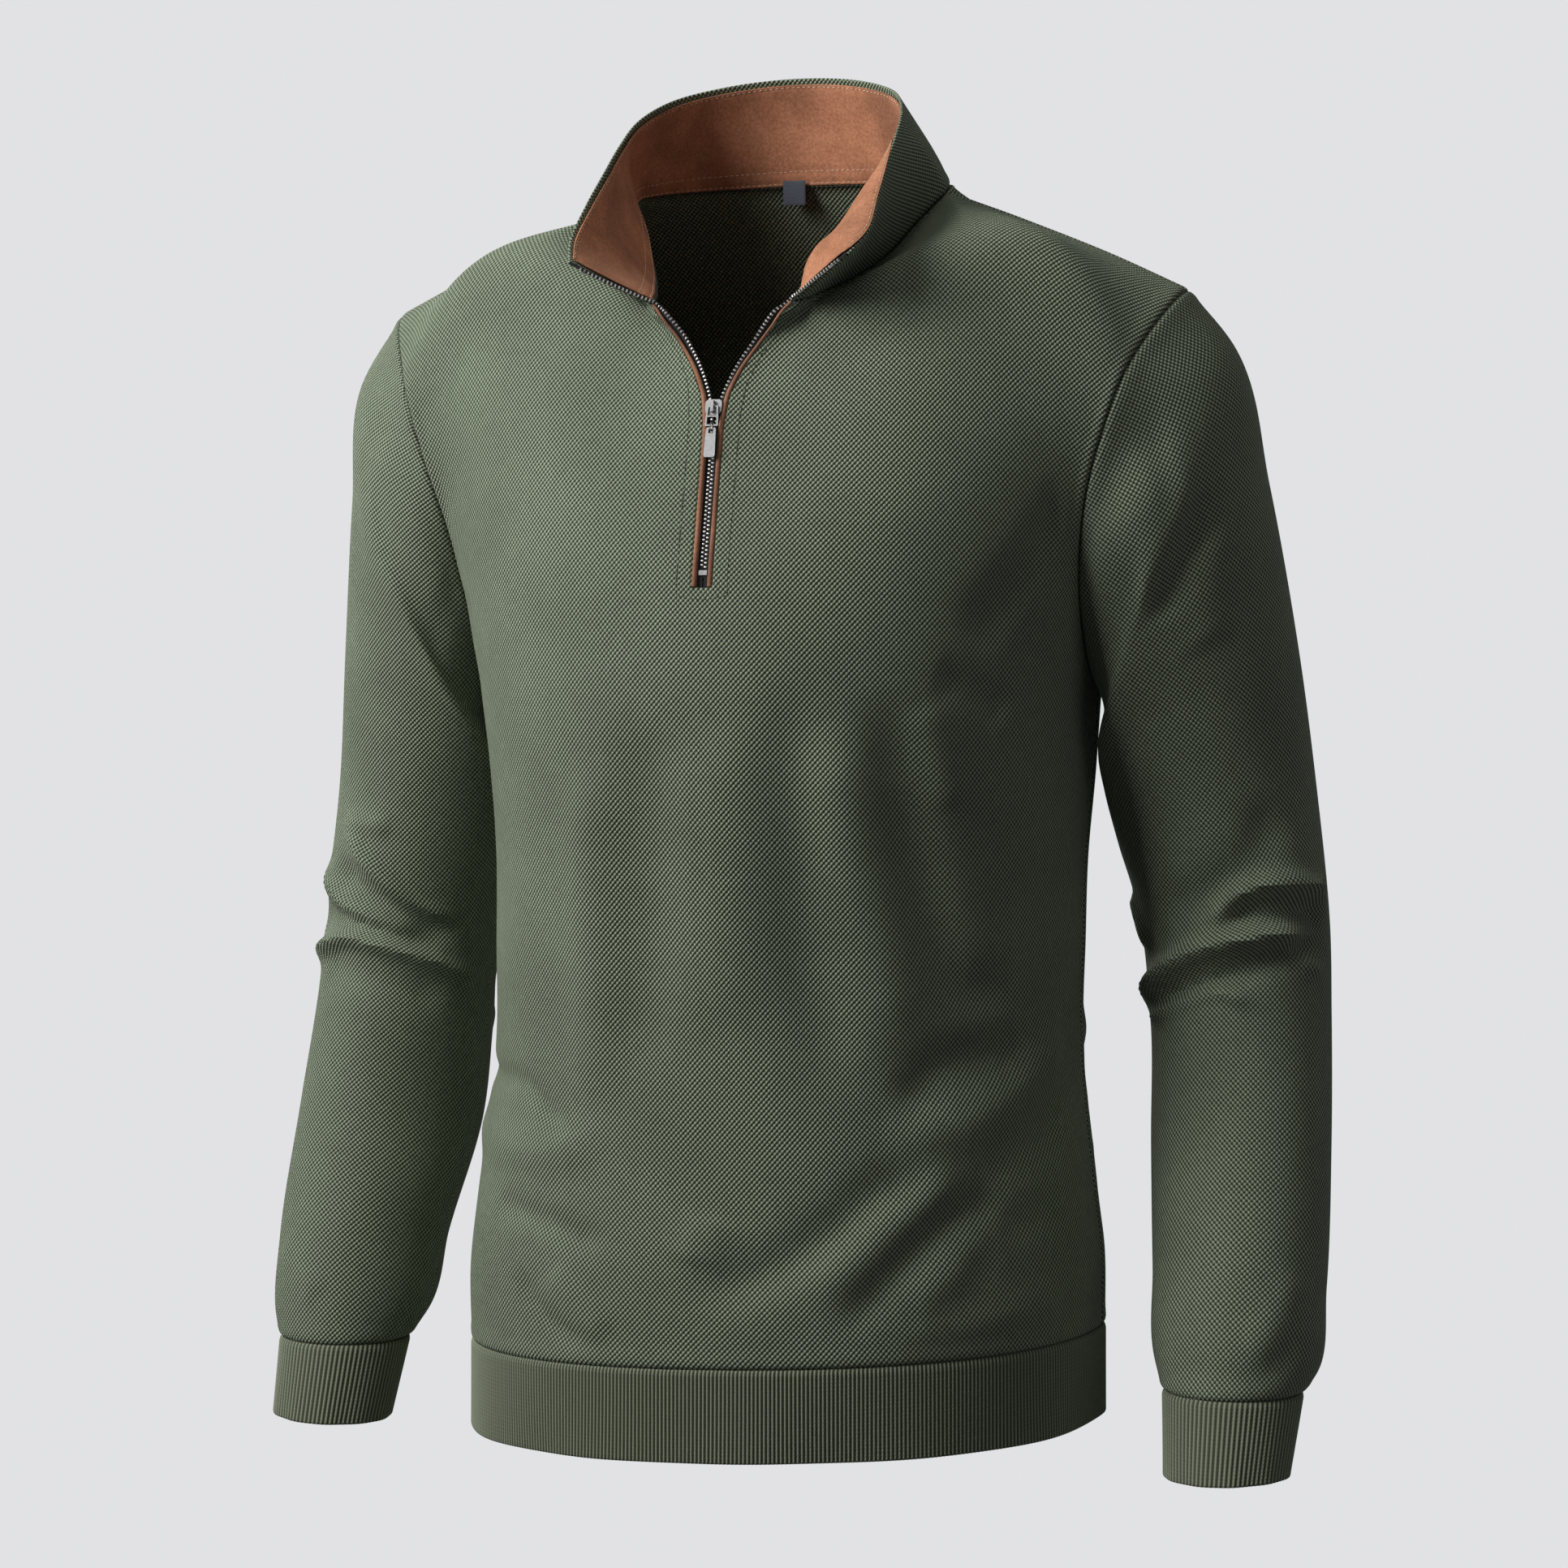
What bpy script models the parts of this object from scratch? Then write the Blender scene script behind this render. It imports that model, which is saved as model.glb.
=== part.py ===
"""Quarter zip sweater, hollow as worn: knitted body, set-in sleeves, open stand collar and zip.

Metres, +Z up, the front faces -Y and the wearer's left is +X. The origin is the middle of the neck
base, level with the shoulder seams' neck points.
"""
import math

import bmesh
import bpy
import numpy as np
from mathutils import Matrix, Vector

# ------------------------------------------------------------------ driving sizes
PANEL_CLOTH = 0.0018
COLLAR_CLOTH = 0.0016
FACING_CLOTH = 0.0012
SEAM_GAP = 0.0003
FACING_GAP = 0.0009
FACING_FOOT = 0.30
FACING_TOP = 0.22
FACING_SIDE = 0.35

HEM_TILT = 0.045
HEM_BAND_HEIGHT = 0.050
HEM_RIBS = 300
HEM_INNER_SIDES = 60
CUFF_RIBS = 84
CUFF_INNER_SIDES = 28
RIB_RELIEF = 0.0007
RIB_BASE = 0.0020

ZIP_FOOT_Z = -0.232
ZIP_SLIDER_Z = -0.134
SLIT_HALF_WIDTH = 0.0058
PIPING_RADIUS = 0.0011
TAPE_DEPTH = 0.0023
TAPE_THICKNESS = 0.0008

ROWS_PER_RING = 2
ROWS_PER_ARC = 2
NECK_COLUMNS = 6
SHOULDER_COLUMNS = 7
BACK_NECK_COLUMNS = 4
COLLAR_ROWS = 5
NECK_SHARE = 0.46

# Torso rings under the arms: height, half width, y of the side line, y of the front and of the back,
# and how square the front and back quarters are (1 is a plain ellipse, less is squarer).
TORSO_RINGS = (
    # z,      width,  side,  front,   back,  front_square, back_square
    (-0.648, 0.1825, 0.027, -0.122, 0.106, 0.90, 0.86),
    (-0.608, 0.1828, 0.025, -0.122, 0.104, 0.90, 0.86),
    (-0.565, 0.1780, 0.025, -0.120, 0.101, 0.90, 0.86),
    (-0.520, 0.1722, 0.030, -0.118, 0.098, 0.90, 0.86),
    (-0.475, 0.1687, 0.034, -0.118, 0.097, 0.90, 0.86),
    (-0.430, 0.1693, 0.037, -0.120, 0.099, 0.90, 0.86),
    (-0.380, 0.1697, 0.042, -0.125, 0.103, 0.90, 0.86),
    (-0.330, 0.1735, 0.045, -0.130, 0.108, 0.90, 0.84),
    (-0.283, 0.1780, 0.038, -0.131, 0.112, 0.90, 0.82),
)
# Arcs from the centre line to the armhole: centre height and y, armhole point, how far the quarter
# turns there in degrees, and how far the arc's middle is lifted and leans back.
FRONT_ARCS = (
    # z_mid,   y_mid,    x,      y,      z,      turn,  lift,   lean
    (-0.232, -0.1265, 0.1790, -0.010, -0.245, 86.0, 0.022, 0.004),
    (-0.192, -0.1180, 0.1855, -0.035, -0.195, 80.0, 0.044, 0.012),
    (-0.150, -0.1090, 0.1965, -0.045, -0.155, 76.0, 0.062, 0.024),
    (-0.115, -0.1030, 0.2130, -0.036, -0.108, 72.0, 0.074, 0.042),
)
BACK_ARCS = (
    (-0.225, 0.1130, 0.1790, 0.062, -0.245, 80.0, 0.022, 0.000),
    (-0.165, 0.1130, 0.1840, 0.084, -0.197, 74.0, 0.034, 0.000),
    (-0.105, 0.1050, 0.1940, 0.086, -0.150, 68.0, 0.041, -0.004),
    (-0.045, 0.0870, 0.2130, 0.066, -0.104, 64.0, 0.038, -0.014),
)
# Neck seam from the centre to the neck point, and the shoulder seam from there to the shoulder tip.
FRONT_NECK = (
    (0.0000, -0.1005, -0.0800),
    (0.0200, -0.0980, -0.0795),
    (0.0385, -0.0920, -0.0770),
    (0.0500, -0.0650, -0.0690),
    (0.0605, -0.0370, -0.0580),
    (0.0705, -0.0150, -0.0445),
    (0.0810, 0.0040, -0.0260),
    (0.0945, 0.0215, -0.0065),
)
BACK_NECK = (
    (0.0000, 0.0630, 0.0055),
    (0.0200, 0.0625, 0.0054),
    (0.0420, 0.0600, 0.0050),
    (0.0660, 0.0550, 0.0045),
    (0.0850, 0.0450, 0.0025),
    (0.0935, 0.0330, -0.0010),
    (0.0945, 0.0215, -0.0065),
)
SHOULDER_SEAM = (
    (0.0945, 0.0215, -0.0065),
    (0.1400, 0.0180, -0.0245),
    (0.1870, 0.0165, -0.0440),
    (0.2335, 0.0165, -0.0660),
)
# Direction in which the front and back run into their top edge, by share of the half width.
FRONT_RISE = (
    (0.00, 0.00, 0.40, 0.90),
    (0.20, -0.10, 0.60, 0.78),
    (0.36, -0.25, 0.72, 0.64),
    (0.46, -0.25, 0.86, 0.40),
    (0.60, -0.02, 0.97, 0.20),
    (1.00, 0.00, 0.99, 0.10),
)
BACK_RISE = (
    (0.00, 0.00, -0.50, 0.86),
    (0.20, -0.05, -0.60, 0.78),
    (0.36, -0.12, -0.85, 0.40),
    (0.46, 0.00, -0.99, -0.05),
    (0.60, 0.02, -0.98, -0.18),
    (1.00, 0.00, -0.99, -0.10),
)
# Half width of the zip opening by height on the centre line.
SLIT = (
    (-0.300, SLIT_HALF_WIDTH),
    (ZIP_SLIDER_Z - 0.010, SLIT_HALF_WIDTH),
    (-0.127, 0.0080),
    (-0.112, 0.0145),
    (-0.096, 0.0250),
    (-0.078, 0.0390),
    (-0.060, 0.0550),
)
# Sleeve sections, each through its outermost and innermost points, with its half depth front to back,
# how far its front edge is raised, and the number of rows to the next one.
SLEEVE_SECTIONS = (
    # outer x, y, z             inner x, y, z            depth   raise  rows
    ((0.2585, 0.027, -0.100), (0.1850, 0.029, -0.298), 0.0600, 0.004, 2),
    ((0.2725, 0.042, -0.170), (0.1800, 0.036, -0.322), 0.0600, 0.006, 2),
    ((0.2860, 0.059, -0.262), (0.1800, 0.050, -0.345), 0.0580, 0.008, 2),
    ((0.2950, 0.069, -0.345), (0.1850, 0.063, -0.375), 0.0560, 0.008, 3),
    ((0.3020, 0.066, -0.410), (0.1962, 0.067, -0.415), 0.0530, 0.004, 4),
    ((0.3045, 0.059, -0.465), (0.2025, 0.067, -0.475), 0.0510, 0.006, 3),
    ((0.3078, 0.039, -0.535), (0.2050, 0.056, -0.540), 0.0500, 0.008, 3),
    ((0.3094, 0.014, -0.610), (0.2130, 0.023, -0.605), 0.0470, 0.006, 2),
    ((0.3066, 0.002, -0.654), (0.2180, 0.004, -0.650), 0.0430, 0.003, 1),
    ((0.3005, -0.006, -0.6635), (0.2245, -0.006, -0.6640), 0.0365, 0.000, 0),
)
ARMHOLE_MIDDLE = (0.2080, 0.012, -0.175)
CUFF_FOOT = ((0.2965, -0.024, -0.7050), (0.2290, -0.0225, -0.7080), 0.0335, 0.000)

# Collar top edge, from the open front corner round to the middle of the back: right and left x.
COLLAR_TOP = (
    # x right, x left,  y,      z
    (0.0790, 0.0810, -0.1140, -0.0550),
    (0.0850, 0.0870, -0.0970, -0.0410),
    (0.0840, 0.0860, -0.0760, -0.0190),
    (0.0825, 0.0835, -0.0540, 0.0020),
    (0.0810, 0.0820, -0.0320, 0.0205),
    (0.0775, 0.0790, -0.0100, 0.0370),
    (0.0660, 0.0680, 0.0140, 0.0510),
    (0.0420, 0.0440, 0.0340, 0.0605),
    (0.0000, 0.0000, 0.0450, 0.0655),
)
COLLAR_BULGE = 0.003
COLLAR_MIDDLE = (0.0, -0.010, 0.0)

# Large soft folds: ends as (degrees round the body from the centre front, height), width and height.
TORSO_FOLDS = (
    (-22.0, -0.36, -18.0, -0.50, 0.030, 0.0035),
    (14.0, -0.29, 20.0, -0.44, 0.032, -0.0045),
    (-4.0, -0.33, 2.0, -0.46, 0.026, 0.0035),
    (100.0, -0.485, 20.0, -0.585, 0.016, -0.0055),
    (96.0, -0.520, 40.0, -0.580, 0.015, 0.0045),
    (90.0, -0.560, 8.0, -0.612, 0.015, -0.0035),
    (-95.0, -0.520, -55.0, -0.545, 0.014, -0.0035),
    (-90.0, -0.565, -45.0, -0.590, 0.014, -0.0030),
    (130.0, -0.500, 200.0, -0.560, 0.018, -0.0040),
    (-130.0, -0.520, -175.0, -0.570, 0.018, -0.0035),
    (178.0, -0.200, 181.0, -0.400, 0.032, -0.0035),
)
# The same on a sleeve: turn round it in degrees (0 outside, 90 front), distance down it, both ends.
SLEEVE_FOLDS = (
    (40.0, 0.330, 150.0, 0.385, 0.013, -0.0055),
    (20.0, 0.362, 140.0, 0.410, 0.011, 0.0045),
    (10.0, 0.395, 160.0, 0.440, 0.012, -0.0055),
    (150.0, 0.335, 215.0, 0.345, 0.014, 0.0045),
    (90.0, 0.120, 130.0, 0.215, 0.020, -0.0050),
    (40.0, 0.090, 80.0, 0.200, 0.022, 0.0035),
    (250.0, 0.350, 330.0, 0.395, 0.014, -0.0040),
    (60.0, 0.500, 120.0, 0.560, 0.018, -0.0025),
)

# Cloth round the body and round a sleeve for each degree of turn.
TORSO_PER_DEGREE = 0.26 / 90.0
SLEEVE_PER_DEGREE = 0.30 / 360.0

COLLECTION = "quarter_zip_sweater"


# ------------------------------------------------------------------ small numeric helpers
def unit(vectors):
    """Return the vectors scaled to length one along their last axis."""
    length = np.linalg.norm(vectors, axis=-1, keepdims=True)
    return vectors / np.maximum(length, 1e-12)


def ease(value):
    """Rise smoothly from 0 to 1 as the value does."""
    value = np.clip(value, 0.0, 1.0)
    return value * value * (3.0 - 2.0 * value)


def slopes(knots, stations):
    """Return the tangents of a smooth curve through stations at uneven knots."""
    steps = np.diff(knots)
    runs = [(b - a) / step for a, b, step in zip(stations[:-1], stations[1:], steps)]
    inner = [(left * after + right * before) / (before + after)
             for left, right, before, after in zip(runs[:-1], runs[1:], steps[:-1], steps[1:])]
    return [runs[0]] + inner + [runs[-1]]


def hermite(p0, p1, m0, m1, step, share):
    """Return the point at a share of the way from p0 to p1, leaving and arriving on the tangents."""
    a = share * share * (2.0 * share - 3.0) + 1.0
    b = share * (share - 1.0) ** 2
    c = share * share * (3.0 - 2.0 * share)
    d = share * share * (share - 1.0)
    return a * p0 + b * step * m0 + c * p1 + d * step * m1


def along(knots, stations, tangents, places):
    """Evaluate a chain of cubic pieces at the given places, clamped to its ends."""
    places = np.asarray(places, dtype=float)
    result = None
    for k in range(len(knots) - 1):
        step = knots[k + 1] - knots[k]
        share = np.clip((places - knots[k]) / step, 0.0, 1.0)
        piece = hermite(stations[k], stations[k + 1], tangents[k], tangents[k + 1], step,
                        share[..., None])
        result = piece if result is None else np.where((places >= knots[k])[..., None], piece, result)
    return result


def curve(table, shares):
    """Return points at shares of the length of a smooth curve through the table's points."""
    points = np.array(table, dtype=float)
    knots = np.concatenate([[0.0], np.cumsum(np.linalg.norm(np.diff(points, axis=0), axis=1))])
    tangents = slopes(knots, points)
    return along(knots, points, tangents, np.asarray(shares, dtype=float) * knots[-1])


def column(table, index):
    """Return one column of a table."""
    return np.array([row[index] for row in table], dtype=float)


def fold_height(folds, across, down, turn_width):
    """Sum the soft ridges and troughs at points given by a turn in degrees and a distance."""
    total = np.zeros(np.broadcast(across, down).shape)
    for turn0, down0, turn1, down1, width, height in folds:
        shift = np.array([(turn1 - turn0) * turn_width, down1 - down0])
        offset = across - turn0
        middle = 0.5 * (turn1 - turn0)
        offset = (offset - middle + 180.0) % 360.0 - 180.0 + middle
        rel_across = offset * turn_width
        rel_down = down - down0
        length2 = float(shift @ shift)
        share = np.clip((rel_across * shift[0] + rel_down * shift[1]) / length2, 0.0, 1.0)
        gap = np.hypot(rel_across - share * shift[0], rel_down - share * shift[1])
        total += height * np.exp(-(gap / width) ** 2) * np.sqrt(np.sin(math.pi * (0.1 + 0.8 * share)))
    return total


# ------------------------------------------------------------------ body surface
def quarter(share, turn, square, width, side, middle):
    """Return x and y on an arc from the middle to the side, as a squared quarter of an ellipse."""
    angle = np.radians(turn) * share
    end = math.radians(turn)
    x = width * np.sin(angle) ** square / math.sin(end) ** square
    fall = 1.0 - math.cos(end) ** square
    y = side + (middle - side) * (np.maximum(np.cos(angle), 0.0) ** square - (1.0 - fall)) / fall
    return x, y


def torso_stations(share, front):
    """Return the heights used as knots and the curves of one panel from the hem to its top edge."""
    middle_column, square_column = (3, 5) if front else (4, 6)
    stations = []
    for ring in TORSO_RINGS:
        x, y = quarter(share, 90.0, ring[square_column], ring[1], ring[2], ring[middle_column])
        stations.append(np.stack([x, y, np.full_like(x, ring[0])], axis=-1))
    square = TORSO_RINGS[-1][square_column]
    for z_mid, y_mid, x_edge, y_edge, z_edge, turn, lift, lean in (FRONT_ARCS if front else BACK_ARCS):
        x, y = quarter(share, turn, square, x_edge, y_edge, y_mid)
        hump = np.sin(math.pi * share)
        z = z_mid + (z_edge - z_mid) * ease(share) + lift * hump
        stations.append(np.stack([x, y + lean * hump, z], axis=-1))
    neck = curve(FRONT_NECK if front else BACK_NECK, np.clip(share / NECK_SHARE, 0.0, 1.0))
    shoulder = curve(SHOULDER_SEAM, np.clip((share - NECK_SHARE) / (1.0 - NECK_SHARE), 0.0, 1.0))
    stations.append(np.where((share < NECK_SHARE)[..., None], neck, shoulder))
    return stations


RING_COUNT = len(TORSO_RINGS)
ARC_COUNT = len(FRONT_ARCS) + 1
PANEL_ROWS = (RING_COUNT - 1) * ROWS_PER_RING + ARC_COUNT * ROWS_PER_ARC
UNDERARM_ROW = (RING_COUNT - 1) * ROWS_PER_RING
ARC_KNOT = 0.052


def panel_knots():
    """Return how far up a panel each of its stations lies."""
    rings = [ring[0] - TORSO_RINGS[0][0] for ring in TORSO_RINGS]
    return rings + [rings[-1] + ARC_KNOT * (k + 1) for k in range(ARC_COUNT)]


KNOTS = panel_knots()


def row_place(row):
    """Return the place up the panel of a row number, which need not be whole."""
    rows = [k * ROWS_PER_RING for k in range(RING_COUNT)]
    rows += [rows[-1] + ROWS_PER_ARC * (k + 1) for k in range(ARC_COUNT)]
    return np.interp(row, rows, KNOTS)


def smooth_panel(share, place, front):
    """Return points of the unfolded panel surface for the share of its half width and the place up it."""
    share = np.abs(np.asarray(share, dtype=float))
    stations = torso_stations(share, front)
    tangents = slopes(KNOTS, stations)
    rise = FRONT_RISE if front else BACK_RISE
    top = np.stack([np.interp(share, column(rise, 0), column(rise, k)) for k in (1, 2, 3)], axis=-1)
    reach = np.linalg.norm(stations[-1] - stations[-2], axis=-1, keepdims=True) / ARC_KNOT
    tangents[-1] = unit(top) * np.maximum(reach, 0.6)
    corner = RING_COUNT - 1
    near_edge = ease((share - 0.70) / 0.30)[..., None]
    below = (stations[corner] - stations[corner - 1]) / (KNOTS[corner] - KNOTS[corner - 1])
    armhole = (stations[corner + 1] - stations[corner]) / ARC_KNOT
    level = np.array([0.0, -1.0 if front else 1.0, 0.0])
    above = armhole * 0.45 + level * 0.90 * np.linalg.norm(armhole, axis=-1, keepdims=True)
    lower = tangents[:corner] + [tangents[corner] * (1.0 - near_edge) + below * near_edge]
    upper = [tangents[corner] * (1.0 - near_edge) + above * near_edge] + tangents[corner + 1:]
    under = along(KNOTS[:corner + 1], stations[:corner + 1], lower, place)
    over = along(KNOTS[corner:], stations[corner:], upper, place)
    return np.where((np.asarray(place) <= KNOTS[corner])[..., None], under, over)


def surface_normal(surface, u, v, step_u, step_v, limits_u, limits_v):
    """Return unit normals of a surface by differences that stay inside its limits."""
    u0, u1 = np.clip(u - step_u, *limits_u), np.clip(u + step_u, *limits_u)
    v0, v1 = np.clip(v - step_v, *limits_v), np.clip(v + step_v, *limits_v)
    return unit(np.cross(surface(u1, v) - surface(u0, v), surface(u, v1) - surface(u, v0)))


def panel_surface(share, place, front):
    """Return points of a half panel on the +X side with its folds; a negative share mirrors it."""
    share, place = np.broadcast_arrays(np.asarray(share, float), np.asarray(place, float))
    side = np.where(share < 0.0, -1.0, 1.0)
    size = np.abs(share)

    def bare(s, p):
        return smooth_panel(s, p, front)

    points = bare(size, place)
    lift = surface_normal(bare, size, place, 0.01, 0.004, (0.001, 1.0), (0.0, KNOTS[-1]))
    lift = lift if front else -lift
    seamward = ease((size - 0.85) / 0.15)[..., None]
    lift = unit(lift * (1.0 - seamward) + np.array([1.0, 0.0, 0.0]) * seamward)
    turn = size * 90.0 if front else 180.0 - size * 90.0
    height = fold_height(TORSO_FOLDS, turn * side, points[..., 2], TORSO_PER_DEGREE)
    armhole_fade = 1.0 - ease((size - 0.75) / 0.25) * ease((place - KNOTS[RING_COUNT - 2]) / 0.04)
    hem_fade = ease(place / 0.03)
    top_fade = ease((KNOTS[-1] - place) / 0.06)
    points = points + lift * (height * armhole_fade * hem_fade * top_fade)[..., None]
    points = points * np.stack([side, np.ones_like(side), np.ones_like(side)], axis=-1)
    tilt = HEM_TILT * ease((-0.35 - points[..., 2]) / 0.25)
    points[..., 2] += tilt * points[..., 0]
    return points


def panel_normal(share, place, front):
    """Return the outward normals of a panel."""
    def surface(s, p):
        return panel_surface(s, p, front)

    share, place = np.broadcast_arrays(np.asarray(share, float), np.asarray(place, float))
    low = np.where(share < 0.0, -1.0, 1e-4)
    high = np.where(share < 0.0, -1e-4, 1.0)
    normal = surface_normal(surface, share, place, 0.006, 0.003, (low, high), (0.0, KNOTS[-1]))
    return normal if front else -normal


def slit_share(place):
    """Return the share of the half width where the zip opening's edge lies at each place."""
    tries = np.linspace(0.0, 0.6, 241)
    result = []
    for spot in np.atleast_1d(place):
        points = smooth_panel(tries, np.full_like(tries, spot), True)
        wanted = np.interp(points[:, 2], column(SLIT, 0), column(SLIT, 1))
        past = int(np.argmax(points[:, 0] >= wanted))
        before = points[past - 1, 0] - wanted[past - 1]
        after = points[past, 0] - wanted[past]
        result.append(tries[past - 1] + (tries[past] - tries[past - 1]) * before / (before - after))
    return np.array(result)


# ------------------------------------------------------------------ neck seam and collar surface
NICK_SHARE = float(slit_share(KNOTS[-1])[0])


def neck_seam(turn):
    """Return the seam's points; the turn is 1 at the right front edge, 0 at the back, -1 at the left."""
    turn = np.asarray(turn, dtype=float)
    side = np.where(turn < 0.0, -1.0, 1.0)
    size = np.abs(turn)
    forward = np.clip((size - 0.5) / 0.5, 0.0, 1.0)
    front_share = NECK_SHARE + (NICK_SHARE - NECK_SHARE) * forward
    back_share = NECK_SHARE * np.clip(size / 0.5, 0.0, 1.0)
    front = panel_surface(side * front_share, np.full_like(size, KNOTS[-1]), True)
    back = panel_surface(side * back_share, np.full_like(size, KNOTS[-1]), False)
    return np.where((size > 0.5)[..., None], front, back)


def collar_edge(turn):
    """Return the collar's top edge at the same turns as the neck seam."""
    right = [(row[0], row[2], row[3]) for row in COLLAR_TOP]
    left = [(-row[1], row[2], row[3]) for row in COLLAR_TOP[:-1]]
    return curve(right + left[::-1], (1.0 - np.asarray(turn, dtype=float)) / 2.0)


def collar_surface(turn, rise):
    """Return points of the collar's outer face, from the neck seam (0) to its top edge (1)."""
    turn, rise = np.broadcast_arrays(np.asarray(turn, float), np.asarray(rise, float))
    foot = neck_seam(turn)
    outward = unit((foot - np.array(COLLAR_MIDDLE)) * np.array([1.0, 1.0, 0.0]))
    hump = (4.0 * rise * (1.0 - rise))[..., None]
    return foot + (collar_edge(turn) - foot) * rise[..., None] + outward * COLLAR_BULGE * hump


def collar_normal(turn, rise):
    """Return the collar's outward normals."""
    turn, rise = np.broadcast_arrays(np.asarray(turn, float), np.asarray(rise, float))
    return -surface_normal(collar_surface, turn, rise, 0.01, 0.02, (-1.0, 1.0), (0.0, 1.0))


# ------------------------------------------------------------------ sleeve surface
def section(outer, inner, depth, raise_front, turn):
    """Return the points round a sleeve section; a turn of 0 is outside and 90 degrees is in front."""
    outer, inner = np.array(outer), np.array(inner)
    angle = np.radians(turn)[..., None]
    ahead = np.array([0.0, -depth, raise_front])
    return 0.5 * (outer + inner) + 0.5 * (outer - inner) * np.cos(angle) + ahead * np.sin(angle)


def armhole(turn):
    """Return the armhole seam's points on the +X side by turn, 0 at the tip and 180 under the arm."""
    turn = np.mod(np.asarray(turn, dtype=float), 360.0)
    rows = ARC_COUNT * ROWS_PER_ARC
    climb = 1.0 - np.where(turn <= 180.0, turn, 360.0 - turn) / 180.0
    place = row_place(UNDERARM_ROW + rows * climb)
    ones = np.ones_like(turn)
    front = panel_surface(ones, place, True)
    back = panel_surface(ones, place, False)
    return np.where((turn <= 180.0)[..., None], front, back)


def sleeve_knots():
    """Return the distance down the sleeve of the armhole and of each section."""
    middles = [0.5 * (np.array(row[0]) + np.array(row[1])) for row in SLEEVE_SECTIONS]
    middles = [np.array(ARMHOLE_MIDDLE)] + middles
    return np.concatenate([[0.0], np.cumsum([np.linalg.norm(b - a) for a, b in zip(middles, middles[1:])])])


SLEEVE_KNOTS = sleeve_knots()
SLEEVE_STEPS = [2] + [row[4] for row in SLEEVE_SECTIONS[:-1]]
SLEEVE_ROWS = sum(SLEEVE_STEPS)
SLEEVE_COLUMNS = 2 * ARC_COUNT * ROWS_PER_ARC


def smooth_sleeve(turn, down):
    """Return points of the sleeve without its folds, by turn and distance down."""
    stations = [armhole(turn)]
    stations += [section(*row[:4], turn) for row in SLEEVE_SECTIONS]
    return along(SLEEVE_KNOTS, stations, slopes(SLEEVE_KNOTS, stations), down)


def sleeve_surface(turn, down):
    """Return points of the +X sleeve with its folds."""
    turn, down = np.broadcast_arrays(np.asarray(turn, float), np.asarray(down, float))
    points = smooth_sleeve(turn, down)
    lift = bare_sleeve_normal(turn, down)
    height = fold_height(SLEEVE_FOLDS, turn, down, SLEEVE_PER_DEGREE)
    fade = ease(down / 0.05) * ease((SLEEVE_KNOTS[-1] - down) / 0.03)
    return points + lift * (height * fade)[..., None]


def wrapped_normal(surface, turn, down):
    """Return a sleeve surface's outward normals."""
    low, high = np.clip(down - 0.003, 0.0, SLEEVE_KNOTS[-1]), np.clip(down + 0.003, 0.0, SLEEVE_KNOTS[-1])
    around = surface(turn + 3.0, down) - surface(turn - 3.0, down)
    return unit(np.cross(around, surface(turn, high) - surface(turn, low)))


def bare_sleeve_normal(turn, down):
    """Return the outward normals of the sleeve without its folds."""
    return wrapped_normal(smooth_sleeve, turn, down)


def sleeve_normal(turn, down):
    """Return the outward normals of the folded sleeve."""
    turn, down = np.broadcast_arrays(np.asarray(turn, float), np.asarray(down, float))
    return wrapped_normal(sleeve_surface, turn, down)


# ------------------------------------------------------------------ nets of points
class Net:
    """Outer points and normals of one cut piece of cloth, row by row."""

    def __init__(self, name, points, normals, cloth, closed=False, slot=None):
        """Keep the grids, the cloth's thickness, whether rows close, and the slot's column and row."""
        self.name = name
        self.outer = points
        self.normals = normals
        self.depth = np.full(points.shape[:2], cloth)
        self.closed = closed
        self.slot = slot

    def border(self):
        """Return the row and column numbers of the net's edge points."""
        rows, columns = self.outer.shape[:2]
        places = {(row, col) for row in (0, rows - 1) for col in range(columns)}
        if not self.closed:
            places |= {(row, col) for row in range(rows) for col in (0, columns - 1)}
        return sorted(places)

    def mirrored(self, name):
        """Return the same net on the other side of the body."""
        flip = np.array([-1.0, 1.0, 1.0])
        twin = Net(name, self.outer * flip, self.normals * flip, float(self.depth[0, 0]), self.closed)
        return twin

    def pull_in(self, row, col):
        """Return the way from an edge point to the net's inside, along the cloth."""
        rows, columns = self.outer.shape[:2]
        way = np.zeros(3)
        if row in (0, rows - 1):
            way += unit(self.outer[1 if row == 0 else rows - 2, col] - self.outer[row, col])
        if not self.closed and col in (0, columns - 1):
            way += unit(self.outer[row, 1 if col == 0 else columns - 2] - self.outer[row, col])
        return way


def join_seams(nets):
    """Give pieces that meet one shared end face, half a seam gap from each."""
    spots = [(net, row, col) for net in nets for row, col in net.border()]
    places = np.array([net.outer[row, col] for net, row, col in spots])
    moves = []
    for index, (net, row, col) in enumerate(spots):
        near = np.flatnonzero(np.linalg.norm(places - places[index], axis=1) < 1e-5)
        partners = [spots[k] for k in near if spots[k][0] is not net]
        if not partners:
            continue
        normals = [spots[k][0].normals[spots[k][1], spots[k][2]] for k in near]
        shared = unit(np.sum(normals, axis=0))
        lean = max(float(np.mean([normal @ shared for normal in normals])), 0.55)
        moves.append((net, row, col, shared, lean, net.pull_in(row, col)))
    for net, row, col, shared, lean, way in moves:
        net.normals[row, col] = shared
        net.depth[row, col] /= lean
        net.outer[row, col] += way * (0.5 * SEAM_GAP)


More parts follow.
